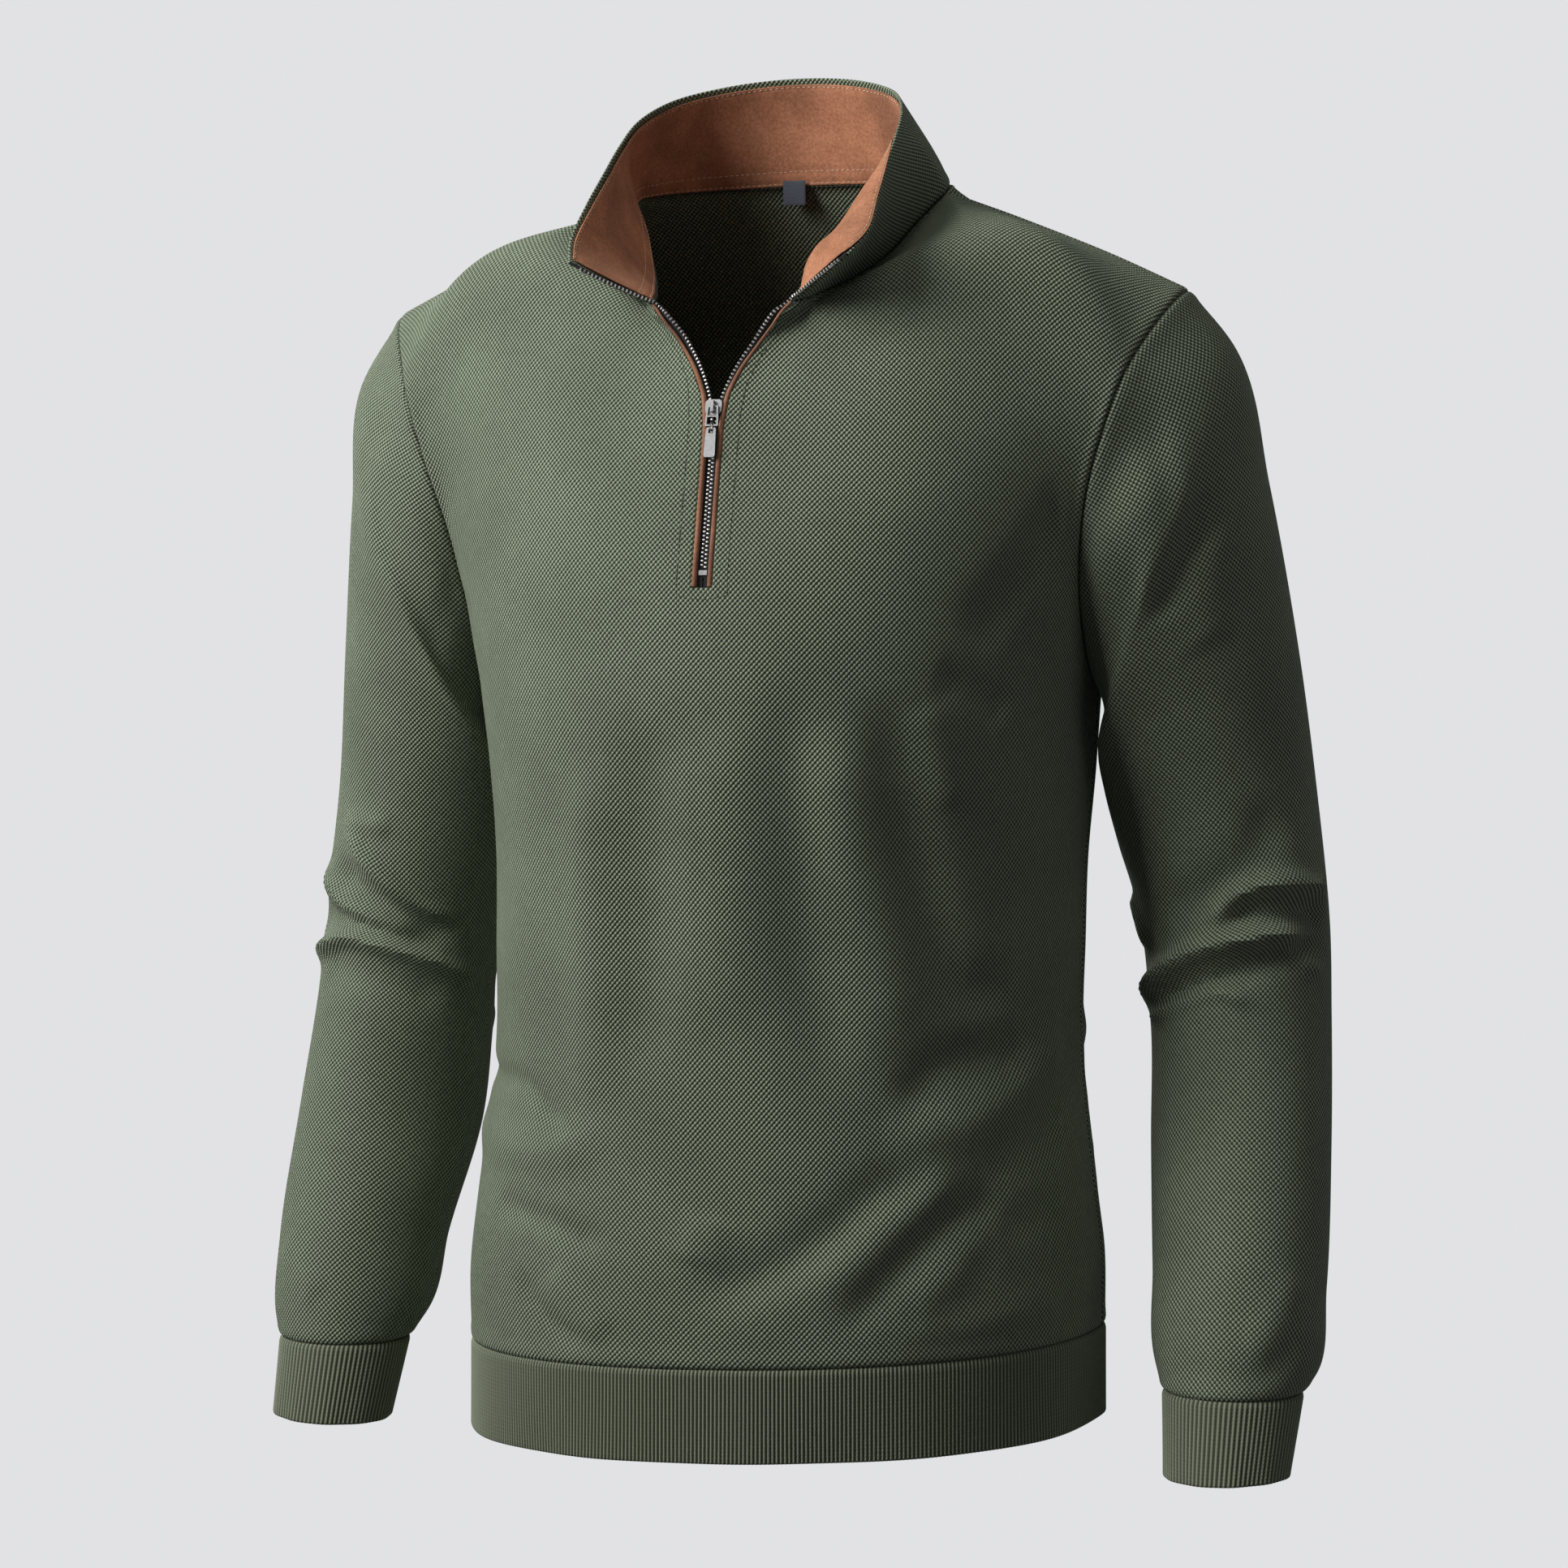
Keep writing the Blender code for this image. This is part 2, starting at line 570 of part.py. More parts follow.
def panel_shares(row):
    """Return the shares of the half width at the front columns of one row, from the slit to the side."""
    edge = float(slit_share(row_place(row))[0])
    inner = edge + (NECK_SHARE - edge) * np.arange(NECK_COLUMNS) / NECK_COLUMNS
    outer = NECK_SHARE + (1.0 - NECK_SHARE) * np.arange(SHOULDER_COLUMNS + 1) / SHOULDER_COLUMNS
    return np.concatenate([inner, outer])


def front_net():
    """Return the front panel, slit from the neck down to the zip's foot."""
    shares = np.array([panel_shares(row) for row in range(PANEL_ROWS + 1)])
    shares = np.concatenate([-shares[:, ::-1], shares], axis=1)
    place = np.repeat(row_place(np.arange(PANEL_ROWS + 1))[:, None], shares.shape[1], axis=1)
    slot = (NECK_COLUMNS + SHOULDER_COLUMNS, UNDERARM_ROW + ROWS_PER_ARC)
    return Net("front_panel", panel_surface(shares, place, True), panel_normal(shares, place, True),
               PANEL_CLOTH, slot=slot)


def back_net():
    """Return the back panel."""
    inner = NECK_SHARE * np.arange(BACK_NECK_COLUMNS) / BACK_NECK_COLUMNS
    outer = NECK_SHARE + (1.0 - NECK_SHARE) * np.arange(SHOULDER_COLUMNS + 1) / SHOULDER_COLUMNS
    half = np.concatenate([inner, outer])
    shares = np.concatenate([-half[:0:-1], half])
    shares = np.repeat(shares[None, :], PANEL_ROWS + 1, axis=0)
    place = np.repeat(row_place(np.arange(PANEL_ROWS + 1))[:, None], shares.shape[1], axis=1)
    return Net("back_panel", panel_surface(shares, place, False), panel_normal(shares, place, False),
               PANEL_CLOTH)


def sleeve_net():
    """Return the +X sleeve, from the armhole to the cuff seam."""
    turns = np.arange(SLEEVE_COLUMNS) * 360.0 / SLEEVE_COLUMNS
    rows = np.concatenate([[0], np.cumsum(SLEEVE_STEPS)])
    downs = np.interp(np.arange(SLEEVE_ROWS + 1), rows, SLEEVE_KNOTS)
    turn, down = np.meshgrid(turns, downs)
    return Net("sleeve_left", sleeve_surface(turn, down), sleeve_normal(turn, down), PANEL_CLOTH, closed=True)


def collar_turns():
    """Return the turns of the collar's columns, which meet those of the panels."""
    front = 0.5 + 0.5 * np.arange(1, NECK_COLUMNS + 1) / NECK_COLUMNS
    back = 0.5 * np.arange(BACK_NECK_COLUMNS + 1) / BACK_NECK_COLUMNS
    half = np.concatenate([back, front])
    return np.concatenate([-half[:0:-1], half])


def collar_net():
    """Return the collar's outer cloth."""
    turn, rise = np.meshgrid(collar_turns(), np.arange(COLLAR_ROWS + 1) / COLLAR_ROWS)
    return Net("collar_outer", collar_surface(turn, rise), collar_normal(turn, rise), COLLAR_CLOTH)


def between(grid, rows, cols):
    """Return a grid's values at fractional rows and columns."""
    low_row, low_col = np.minimum(rows.astype(int), len(grid) - 2), np.minimum(cols.astype(int), len(grid[0]) - 2)
    down, across = (rows - low_row)[..., None], (cols - low_col)[..., None]
    near = grid[low_row, low_col] * (1.0 - across) + grid[low_row, low_col + 1] * across
    far = grid[low_row + 1, low_col] * (1.0 - across) + grid[low_row + 1, low_col + 1] * across
    return near * (1.0 - down) + far * down


def facing_net(collar):
    """Return the collar's inner facing, just inside the outer cloth and short of its edges."""
    last_row, last_col = collar.outer.shape[0] - 1, collar.outer.shape[1] - 1
    rows, cols = np.arange(last_row + 1.0), np.arange(last_col + 1.0)
    rows[0], rows[-1] = FACING_FOOT, last_row - FACING_TOP
    cols[0], cols[-1] = FACING_SIDE, last_col - FACING_SIDE
    col, row = np.meshgrid(cols, rows)
    inner = collar.outer - collar.normals * collar.depth[..., None]
    normals = unit(between(collar.normals, row, col))
    points = between(inner, row, col) - normals * FACING_GAP
    return Net("collar_facing", points, normals, FACING_CLOTH)


# ------------------------------------------------------------------ meshes
def finish_mesh(name, mesh, material, pivot=(0.0, 0.0, 0.0)):
    """Close a bmesh into an object with one material and its origin at the pivot."""
    bmesh.ops.recalc_face_normals(mesh, faces=mesh.faces[:])
    if mesh.calc_volume(signed=True) < 0.0:
        bmesh.ops.reverse_faces(mesh, faces=mesh.faces[:])
    bmesh.ops.translate(mesh, vec=-Vector(pivot), verts=mesh.verts[:])
    data = bpy.data.meshes.new(name)
    mesh.to_mesh(data)
    mesh.free()
    data.materials.append(material)
    data.shade_smooth()
    data.set_sharp_from_angle(angle=math.radians(50.0))
    piece = bpy.data.objects.new(name, data)
    piece.location = pivot
    bpy.data.collections[COLLECTION].objects.link(piece)
    return piece


def cloth_wall(net, material):
    """Turn a net into a closed wall of cloth: a grid laid on its points, then extruded inwards."""
    rows, columns = net.outer.shape[:2]
    inner = net.outer - net.normals * net.depth[..., None]
    around = columns if net.closed else columns - 1
    mesh = bmesh.new()
    bmesh.ops.create_grid(mesh, x_segments=around, y_segments=rows - 1, size=0.5)
    mesh.verts.ensure_lookup_table()
    mark = mesh.verts.layers.int.new("place")
    stride = around + 1
    for index, vert in enumerate(mesh.verts):
        vert[mark] = index
        vert.co = net.outer[index // stride, (index % stride) % columns]
    if net.slot:
        col, foot = net.slot
        cut = [face for face in mesh.faces
               if {(v[mark] % stride) for v in face.verts} == {col, col + 1}
               and min(v[mark] // stride for v in face.verts) >= foot]
        bmesh.ops.delete(mesh, geom=cut, context="FACES")
    if net.closed:
        bmesh.ops.remove_doubles(mesh, verts=mesh.verts[:], dist=1e-6)
    extruded = bmesh.ops.extrude_face_region(mesh, geom=mesh.faces[:])
    for vert in (item for item in extruded["geom"] if isinstance(item, bmesh.types.BMVert)):
        vert.co = inner[vert[mark] // stride, (vert[mark] % stride) % columns]
    bmesh.ops.triangulate(mesh, faces=mesh.faces[:])
    return finish_mesh(net.name, mesh, material)


def even_loop(points, count):
    """Return points evenly spaced by length round a closed loop, and its level outward normals."""
    ring = np.vstack([points, points[:1]])
    walked = np.concatenate([[0.0], np.cumsum(np.linalg.norm(np.diff(ring, axis=0), axis=1))])
    wanted = np.arange(count) * walked[-1] / count
    even = np.stack([np.interp(wanted, walked, ring[:, axis]) for axis in range(3)], axis=-1)
    ahead = np.roll(even, -1, axis=0) - np.roll(even, 1, axis=0)
    normals = unit(np.stack([ahead[:, 1], -ahead[:, 0], np.zeros(count)], axis=-1))
    inward = np.sum(normals * (even - even.mean(axis=0))) < 0.0
    return even, -normals if inward else normals


def ribbed_band(name, top, foot, ribs, inner_sides, material):
    """Build a knitted band between two loops: ribs raised outside, plain inside."""
    rings = []
    for loop in (top, foot):
        outer, normals = even_loop(loop, 2 * ribs)
        relief = np.where(np.arange(2 * ribs) % 2 == 0, 0.5, -0.5) * RIB_RELIEF
        rings.append((outer + normals * relief[:, None], even_loop(loop, inner_sides)))
    mesh = bmesh.new()
    outside = [[mesh.verts.new(point) for point in ring[0]] for ring in rings]
    inside = [[mesh.verts.new(point - normal * RIB_BASE) for point, normal in zip(*ring[1])] for ring in rings]
    share = 2 * ribs // inner_sides
    for col in range(2 * ribs):
        ahead = (col + 1) % (2 * ribs)
        mesh.faces.new((outside[0][col], outside[0][ahead], outside[1][ahead], outside[1][col]))
    for col in range(inner_sides):
        ahead = (col + 1) % inner_sides
        mesh.faces.new((inside[0][col], inside[1][col], inside[1][ahead], inside[0][ahead]))
        for level in (0, 1):
            rim = [outside[level][(col * share + k) % (2 * ribs)] for k in range(share + 1)]
            split = share // 2
            fans = [(inside[level][col], rim[k], rim[k + 1]) for k in range(split)]
            fans += [(inside[level][ahead], rim[k], rim[k + 1]) for k in range(split, share)]
            fans.append((inside[level][col], rim[split], inside[level][ahead]))
            for fan in fans:
                mesh.faces.new(fan)
    bmesh.ops.triangulate(mesh, faces=mesh.faces[:])
    return finish_mesh(name, mesh, material)


def hem_loop(drop):
    """Return the loop round the body at the hem seam, lowered by a drop."""
    shares = np.linspace(-1.0, 1.0, 240, endpoint=False)
    start = np.zeros_like(shares)
    front = panel_surface(shares, start, True)
    back = panel_surface(-shares, start, False)
    return np.vstack([front, back]) - np.array([0.0, 0.0, drop])


def cuff_loop(spec, side, drop):
    """Return the loop round a cuff's section on one side of the body."""
    points = section(spec[0], spec[1], spec[2], spec[3], np.arange(0.0, 360.0, 2.0))
    return (points - np.array([0.0, 0.0, drop])) * np.array([side, 1.0, 1.0])


# ------------------------------------------------------------------ zip
ZIP_STEPS = 26
TAPE_REACH = 0.0054
TAPE_TUCK = 0.0030
TAPE_END_GAP = 0.0001
PIPING_GAP = 0.0007
ZIP_FOOT_CLEARANCE = 0.0030
NICK_SPREAD = 0.016
NICK_DROP = 0.0027
EDGE_SMOOTHING = 20
PIPING_STEPS = 18

# Slider, measured out from the cloth's face along its normal and up the zip from its middle.
PLATE_FACE = 0.0017
PLATE_THICKNESS = 0.0011
POST_LENGTH = 0.0041
BACK_PLATE = (3.6, 1.55)
SLIDER_ROWS = (
    # up,     half width, half width of the crown
    (-0.0043, 0.0026, 0.0008),
    (-0.0032, 0.0040, 0.0008),
    (-0.0022, 0.0045, 0.0008),
    (0.0022, 0.0047, 0.0008),
    (0.0032, 0.0044, 0.0008),
    (0.0043, 0.0032, 0.0008),
)
CROWN_LEGS = 0.0017
CROWN_WIRE = 0.0009
PULL_OFFSET = 0.0026
PULL_CHORD = 0.034
LINK_ROWS = (
    (0.00045, 0.0031, 0.0020),
    (-0.00045, 0.0032, 0.0022),
    (-0.0050, 0.0035, 0.0026),
    (-0.0058, 0.0036, 0.0027),
    (-0.0100, 0.0037, 0.0028),
    (-0.0109, 0.0036, 0.0024),
)
LINK_THICKNESS = 0.0008
LINK_BAR_UP = -0.01045
RING_UP = -0.0114
RING_RADIUS = 0.00225
RING_WIRE = 0.00035
TAB_ROWS = (
    (-0.0118, 0.0022, 0.0012),
    (-0.0128, 0.0028, 0.0013),
    (-0.0149, 0.0029, 0.0013),
    (-0.0270, 0.0032, 0.0014),
    (-0.0282, 0.0026, 0.0014),
)
TAB_THICKNESS = 0.0011
BOTTOM_STOP_Z = -0.2227
BOTTOM_STOP = (0.0046, 0.0026, 0.0012)
TOP_STOP = (0.0016, 0.0028, 0.0012)
TOP_STOP_REACH = 0.0045

LABEL_WIDTH = 0.0135
LABEL_TOP = 0.0082
LABEL_FOOT = -0.0060
LABEL_SIDE = -0.0070
LABEL_FACE = 0.0568
LABEL_THICKNESS = 0.0008


def zip_edge(side):
    """Return the edge of the cloth beside the zip, its outward normals and the way to the zip."""
    places = np.linspace(row_place(UNDERARM_ROW + ROWS_PER_ARC) + ZIP_FOOT_CLEARANCE, KNOTS[-1], 60)
    shares = side * slit_share(places)
    panel = panel_surface(shares, places, True)
    panel_out = panel_normal(shares, places, True)
    rises = np.linspace(0.0, 0.985, 24)[1:]
    turns = np.full_like(rises, side * 1.0)
    points = np.vstack([panel, collar_surface(turns, rises)])
    normals = np.vstack([panel_out, collar_normal(turns, rises)])
    walked = np.concatenate([[0.0], np.cumsum(np.linalg.norm(np.diff(points, axis=0), axis=1))])
    nick = walked[len(places) - 1]
    fine = np.linspace(0.0, walked[-1], 240)
    normals = np.stack([np.interp(fine, walked, normals[:, axis]) for axis in range(3)], axis=-1)
    points = np.stack([np.interp(fine, walked, points[:, axis]) for axis in range(3)], axis=-1)
    for _ in range(EDGE_SMOOTHING):
        normals[1:-1] = unit(normals[:-2] + normals[1:-1] + normals[2:])
        points[1:-1] = (points[:-2] + points[1:-1] + points[2:]) / 3.0
    ahead = unit(np.gradient(points, axis=0))
    inward = unit(np.cross(normals, ahead)) * side
    outward = unit(np.cross(ahead, inward)) * side
    corner = np.exp(-((fine - nick) / NICK_SPREAD) ** 2)
    pick = np.linspace(0, len(fine) - 1, ZIP_STEPS + 1).astype(int)
    return points[pick], outward[pick], inward[pick], corner[pick]


def zip_tape(name, side, material):
    """Build one zip tape, tucked under the cloth's edge."""
    edge, outward, inward, corner = zip_edge(side)
    tuck = -TAPE_TUCK * (1.0 - corner)
    shares = np.stack([tuck, np.full_like(tuck, 0.4 * TAPE_REACH), np.full_like(tuck, TAPE_REACH)], axis=1)
    depth = (TAPE_DEPTH + NICK_DROP * corner)[:, None, None]
    points = edge[:, None] + inward[:, None] * shares[..., None] - outward[:, None] * depth
    normals = np.repeat(outward[:, None], shares.shape[1], axis=1)
    return cloth_wall(Net(name, points, normals, TAPE_THICKNESS), material)


def piping(name, side, material):
    """Lay the piping beside the panel's edge, from the zip's foot to the neck seam."""
    edge, outward, inward, _ = zip_edge(side)
    route = edge + inward * (PIPING_RADIUS + PIPING_GAP) - outward * (PIPING_RADIUS * 0.75)
    line = bpy.data.curves.new(name, "CURVE")
    line.dimensions = "3D"
    line.bevel_depth = PIPING_RADIUS
    line.bevel_resolution = 1
    line.use_fill_caps = True
    spline = line.splines.new("POLY")
    spline.points.add(PIPING_STEPS - 1)
    for point, place in zip(spline.points, route[:PIPING_STEPS]):
        point.co = (*place, 1.0)
    line.materials.append(material)
    cord = bpy.data.objects.new(name, line)
    bpy.data.collections[COLLECTION].objects.link(cord)
    weld = cord.modifiers.new("Weld", "WELD")
    weld.merge_threshold = 1e-5
    return cord


def zip_point(height):
    """Return the middle of the zip at a height, and the cloth's outward normal there."""
    point, normal = np.zeros(3), np.zeros(3)
    for side in (1.0, -1.0):
        edge, outward, _, _ = zip_edge(side)
        for axis in range(3):
            point[axis] += 0.5 * np.interp(height, edge[:, 2], edge[:, axis])
            normal[axis] += 0.5 * np.interp(height, edge[:, 2], outward[:, axis])
    return point * np.array([0.0, 1.0, 1.0]), normal


def zip_frame(height, below):
    """Return the frame on the zip's middle: x to the wearer's left, y up the zip and z outward."""
    start, _ = zip_point(height)
    down = unit(zip_point(height - below)[0] - start)
    out = Vector((0.0, down[2], -down[1]))
    frame = Matrix.Identity(4)
    frame.col[1].xyz = -Vector(down)
    frame.col[2].xyz = out
    frame.translation = start
    return frame


def pierced_plate(rows, holes, thickness, face):
    """Return a flat plate three cells wide from rows of (up, half width, half hole) less its holes."""
    mesh = bmesh.new()
    bmesh.ops.create_grid(mesh, x_segments=3, y_segments=len(rows) - 1, size=0.5)
    mesh.verts.ensure_lookup_table()
    mark = mesh.verts.layers.int.new("place")
    for index, vert in enumerate(mesh.verts):
        up, half, inner = rows[index // 4]
        vert.co = ((-half, -inner, inner, half)[index % 4], up, face)
        vert[mark] = index
    cut = [cell(mesh, mark, row) for row in holes]
    bmesh.ops.delete(mesh, geom=cut, context="FACES")
    extruded = bmesh.ops.extrude_face_region(mesh, geom=mesh.faces[:])
    moved = [item for item in extruded["geom"] if isinstance(item, bmesh.types.BMVert)]
    bmesh.ops.translate(mesh, vec=(0.0, 0.0, -thickness), verts=moved)
    return mesh, mark, {vert for vert in moved}


def cell(mesh, mark, row):
    """Return the plate's middle face in one row of the grid it started as."""
    wanted = {row * 4 + 1, row * 4 + 2, row * 4 + 5, row * 4 + 6}
    return next(face for face in mesh.faces if {vert[mark] for vert in face.verts} == wanted)


def push_face(mesh, face, step, scale=(1.0, 1.0)):
    """Extrude one face by a step out of the plate, widening it about its middle, and return its new face."""
    grown = bmesh.ops.extrude_discrete_faces(mesh, faces=[face])["faces"][0]
    middle = grown.calc_center_median()
    for vert in grown.verts:
        vert.co.x = middle.x + (vert.co.x - middle.x) * scale[0]
        vert.co.y = middle.y + (vert.co.y - middle.y) * scale[1]
        vert.co.z += step
    return grown


def zip_slider(material):
    """Build the slider: front plate with its crown, a post between the tapes, and a back plate."""
    mesh, mark, back = pierced_plate(SLIDER_ROWS, (), PLATE_THICKNESS, PLATE_FACE)
    middle = {row * 4 + col for row in (2, 3) for col in (1, 2)}
    post = next(face for face in mesh.faces
                if {vert[mark] for vert in face.verts} == middle and back.issuperset(face.verts))
    post = push_face(mesh, post, -POST_LENGTH)
    post = push_face(mesh, post, 0.0, BACK_PLATE)
    push_face(mesh, post, -PLATE_THICKNESS)
    inner_sides = []
    for row, towards in ((1, 1.0), (3, -1.0)):
        wanted = {row * 4 + col for col in (1, 2, 5, 6)}
        foot = next(face for face in mesh.faces
                    if {vert[mark] for vert in face.verts} == wanted and not back & set(face.verts))
        knee = push_face(mesh, foot, CROWN_LEGS)
        top = push_face(mesh, knee, CROWN_WIRE)
        edge = max(top.edges, key=lambda item: towards * (item.verts[0].co.y + item.verts[1].co.y))
        inner_sides.append(next(face for face in edge.link_faces if face is not top))
    edges = [edge for face in inner_sides for edge in face.edges]
    bmesh.ops.delete(mesh, geom=inner_sides, context="FACES_ONLY")
    bmesh.ops.bridge_loops(mesh, edges=edges)
    frame = zip_frame(ZIP_SLIDER_Z, -SLIDER_ROWS[0][0])
    bmesh.ops.transform(mesh, matrix=frame, verts=mesh.verts[:])
    bmesh.ops.triangulate(mesh, faces=mesh.faces[:])
    return finish_mesh("zip_slider", mesh, material)


def pull_frame():
    """Return the frame of the pull, lying down the zip from the slider's crown."""
    start = zip_frame(ZIP_SLIDER_Z, -SLIDER_ROWS[0][0]) @ Vector((0.0, 0.0, PULL_OFFSET))
    frame = zip_frame(ZIP_SLIDER_Z, PULL_CHORD)
    frame.translation = start
    return frame


def pull_parts(material):
    """Build the link on the slider's crown, the ring on the link, and the tab on the ring."""
    frame = pull_frame()
    link_axis = frame.translation
    tab_axis = frame @ Vector((0.0, LINK_BAR_UP, 0.0))
    mesh, _, _ = pierced_plate(LINK_ROWS, (1, 3), LINK_THICKNESS, LINK_THICKNESS / 2.0)
    bmesh.ops.transform(mesh, matrix=frame, verts=mesh.verts[:])
    bmesh.ops.triangulate(mesh, faces=mesh.faces[:])
    finish_mesh("pull_link", mesh, material, link_axis)
    mesh, _, _ = pierced_plate(TAB_ROWS, (1,), TAB_THICKNESS, TAB_THICKNESS / 2.0)
    bmesh.ops.transform(mesh, matrix=frame, verts=mesh.verts[:])
    bmesh.ops.triangulate(mesh, faces=mesh.faces[:])
    finish_mesh("pull_tab", mesh, material, tab_axis)
    mesh = bmesh.new()
    bmesh.ops.create_circle(mesh, segments=6, radius=RING_WIRE)
    bmesh.ops.translate(mesh, vec=(0.0, RING_RADIUS, 0.0), verts=mesh.verts[:])
    bmesh.ops.spin(mesh, geom=mesh.edges[:], cent=(0.0, 0.0, 0.0), axis=(1.0, 0.0, 0.0),
                   angle=2.0 * math.pi, steps=14, use_merge=True)
    bmesh.ops.transform(mesh, matrix=frame @ Matrix.Translation((0.0, RING_UP, 0.0)), verts=mesh.verts[:])
    bmesh.ops.triangulate(mesh, faces=mesh.faces[:])
    finish_mesh("pull_ring", mesh, material, tab_axis)


def block(name, frame, size, material):
    """Build a small block of the given size standing on the frame's x and y plane."""
    mesh = bmesh.new()
    bmesh.ops.create_cube(mesh, size=1.0)
    bmesh.ops.scale(mesh, vec=size, verts=mesh.verts[:])
    bmesh.ops.translate(mesh, vec=(0.0, 0.0, size[2] / 2.0), verts=mesh.verts[:])
    bmesh.ops.transform(mesh, matrix=frame, verts=mesh.verts[:])
    bmesh.ops.triangulate(mesh, faces=mesh.faces[:])
    return finish_mesh(name, mesh, material)


def stops(material):
    """Build the stop at the zip's foot and one at the top of each tape."""
    lift = Matrix.Translation((0.0, 0.0, TAPE_END_GAP - TAPE_DEPTH))
    block("bottom_stop", zip_frame(BOTTOM_STOP_Z, BOTTOM_STOP[1]) @ lift, BOTTOM_STOP, material)
    for name, side in (("top_stop_left", 1.0), ("top_stop_right", -1.0)):
        edge, outward, inward, _ = zip_edge(side)
        frame = Matrix.Identity(4)
        ahead = unit(np.cross(outward[-2], inward[-2]))
        for axis, way in enumerate((inward[-2], ahead, outward[-2])):
            frame.col[axis].xyz = Vector(way)
        frame.translation = edge[-2] + inward[-2] * TOP_STOP_REACH
        block(name, frame @ lift, TOP_STOP, material)


def neck_label(material):
    """Hang the bare label inside the back of the neck."""
    across = LABEL_SIDE + np.array([-0.5, 0.0, 0.5]) * LABEL_WIDTH
    heights = np.array([LABEL_FOOT, 0.5 * (LABEL_FOOT + LABEL_TOP), LABEL_TOP])
    x, z = np.meshgrid(across, heights)
    points = np.stack([x, np.full_like(x, LABEL_FACE), z], axis=-1)
    normals = np.zeros_like(points)
    normals[..., 1] = -1.0
    return cloth_wall(Net("neck_label", points, normals, LABEL_THICKNESS), material)


# ------------------------------------------------------------------ materials and assembly
def cloth_material(name, colour, roughness, metallic=0.0):
    """Return a Principled material."""
    material = bpy.data.materials.new(name)
    material.use_nodes = True
    shader = material.node_tree.nodes["Principled BSDF"]
    shader.inputs["Base Color"].default_value = (*colour, 1.0)
    shader.inputs["Roughness"].default_value = roughness
    shader.inputs["Metallic"].default_value = metallic
    return material


def clear_scene():
    """Remove what the file holds and start the part's collection."""
    for item in list(bpy.data.objects):
        bpy.data.objects.remove(item, do_unlink=True)
    collection = bpy.data.collections.new(COLLECTION)
    bpy.context.scene.collection.children.link(collection)


def build():
    """Build every piece of the sweater."""
    clear_scene()
    knit = cloth_material("sage knit", (0.115, 0.158, 0.105), 0.9)
    rib = cloth_material("sage rib", (0.105, 0.145, 0.097), 0.9)
    suede = cloth_material("brown suede", (0.26, 0.105, 0.058), 0.85)
    tape = cloth_material("black tape", (0.012, 0.012, 0.012), 0.8)
    metal = cloth_material("silver metal", (0.62, 0.62, 0.61), 0.3, 1.0)
    slate = cloth_material("slate label", (0.03, 0.034, 0.04), 0.9)
    front, back, sleeve = front_net(), back_net(), sleeve_net()
    collar = collar_net()
    twin = sleeve.mirrored("sleeve_right")
    join_seams([front, back, sleeve, twin, collar])
    for net in (front, back, sleeve, twin, collar):
        cloth_wall(net, knit)
    cloth_wall(facing_net(collar), suede)
    ribbed_band("hem_band", hem_loop(SEAM_GAP), hem_loop(HEM_BAND_HEIGHT), HEM_RIBS, HEM_INNER_SIDES, rib)
    top = SLEEVE_SECTIONS[-1]
    for name, side in (("cuff_left", 1.0), ("cuff_right", -1.0)):
        ribbed_band(name, cuff_loop(top, side, 2.0 * SEAM_GAP), cuff_loop(CUFF_FOOT, side, 0.0),
                    CUFF_RIBS, CUFF_INNER_SIDES, rib)
    for name, side in (("left", 1.0), ("right", -1.0)):
        zip_tape("zip_tape_" + name, side, tape)
        piping("piping_" + name, side, suede)
    zip_slider(metal)
    pull_parts(metal)
    stops(metal)
    neck_label(slate)


build()
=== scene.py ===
"""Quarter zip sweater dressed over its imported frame: knit, ribs, suede, zip, stitches and folds.

Metres, +Z up, the front faces -Y and the wearer's left is +X, with the origin at the neck base.
"""

import logging
import math
from collections.abc import Iterable, Sequence
from dataclasses import dataclass, field
from enum import Enum

import bmesh
import bpy
import numpy as np
from mathutils import Matrix, Vector
from mathutils.kdtree import KDTree


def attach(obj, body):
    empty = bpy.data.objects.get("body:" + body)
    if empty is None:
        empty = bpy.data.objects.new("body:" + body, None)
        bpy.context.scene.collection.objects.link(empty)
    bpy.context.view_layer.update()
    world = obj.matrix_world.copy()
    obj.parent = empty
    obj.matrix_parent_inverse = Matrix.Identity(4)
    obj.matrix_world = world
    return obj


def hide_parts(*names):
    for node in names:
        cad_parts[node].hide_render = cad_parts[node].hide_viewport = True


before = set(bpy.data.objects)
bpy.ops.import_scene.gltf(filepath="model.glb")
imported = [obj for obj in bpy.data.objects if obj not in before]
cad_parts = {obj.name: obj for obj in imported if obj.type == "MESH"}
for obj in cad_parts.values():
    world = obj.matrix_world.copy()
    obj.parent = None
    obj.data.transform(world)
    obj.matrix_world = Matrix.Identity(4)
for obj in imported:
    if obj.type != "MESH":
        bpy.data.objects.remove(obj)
LOG = logging.getLogger("sweater")
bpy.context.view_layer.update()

Array = np.ndarray
Table = tuple[tuple[float, ...], ...]
ROOT_BODY = "sweater"


class Side(Enum):
    """The wearer's left and right, as the sign of X."""

    LEFT = 1.0
    RIGHT = -1.0

    @property
    def word(self) -> str:
        """Return the side's name as it ends a piece's name."""
        return self.name.lower()


# ------------------------------------------------------------------ numeric helpers
def unit(vectors: Array) -> Array:
    """Return the vectors scaled to length one along their last axis."""
    return vectors / np.maximum(np.linalg.norm(vectors, axis=-1, keepdims=True), 1e-12)


def ease(value: Array | float) -> Array:
    """Return a smooth rise from 0 to 1 as the value goes from 0 to 1."""
    value = np.clip(value, 0.0, 1.0)
    return value * value * (3.0 - 2.0 * value)


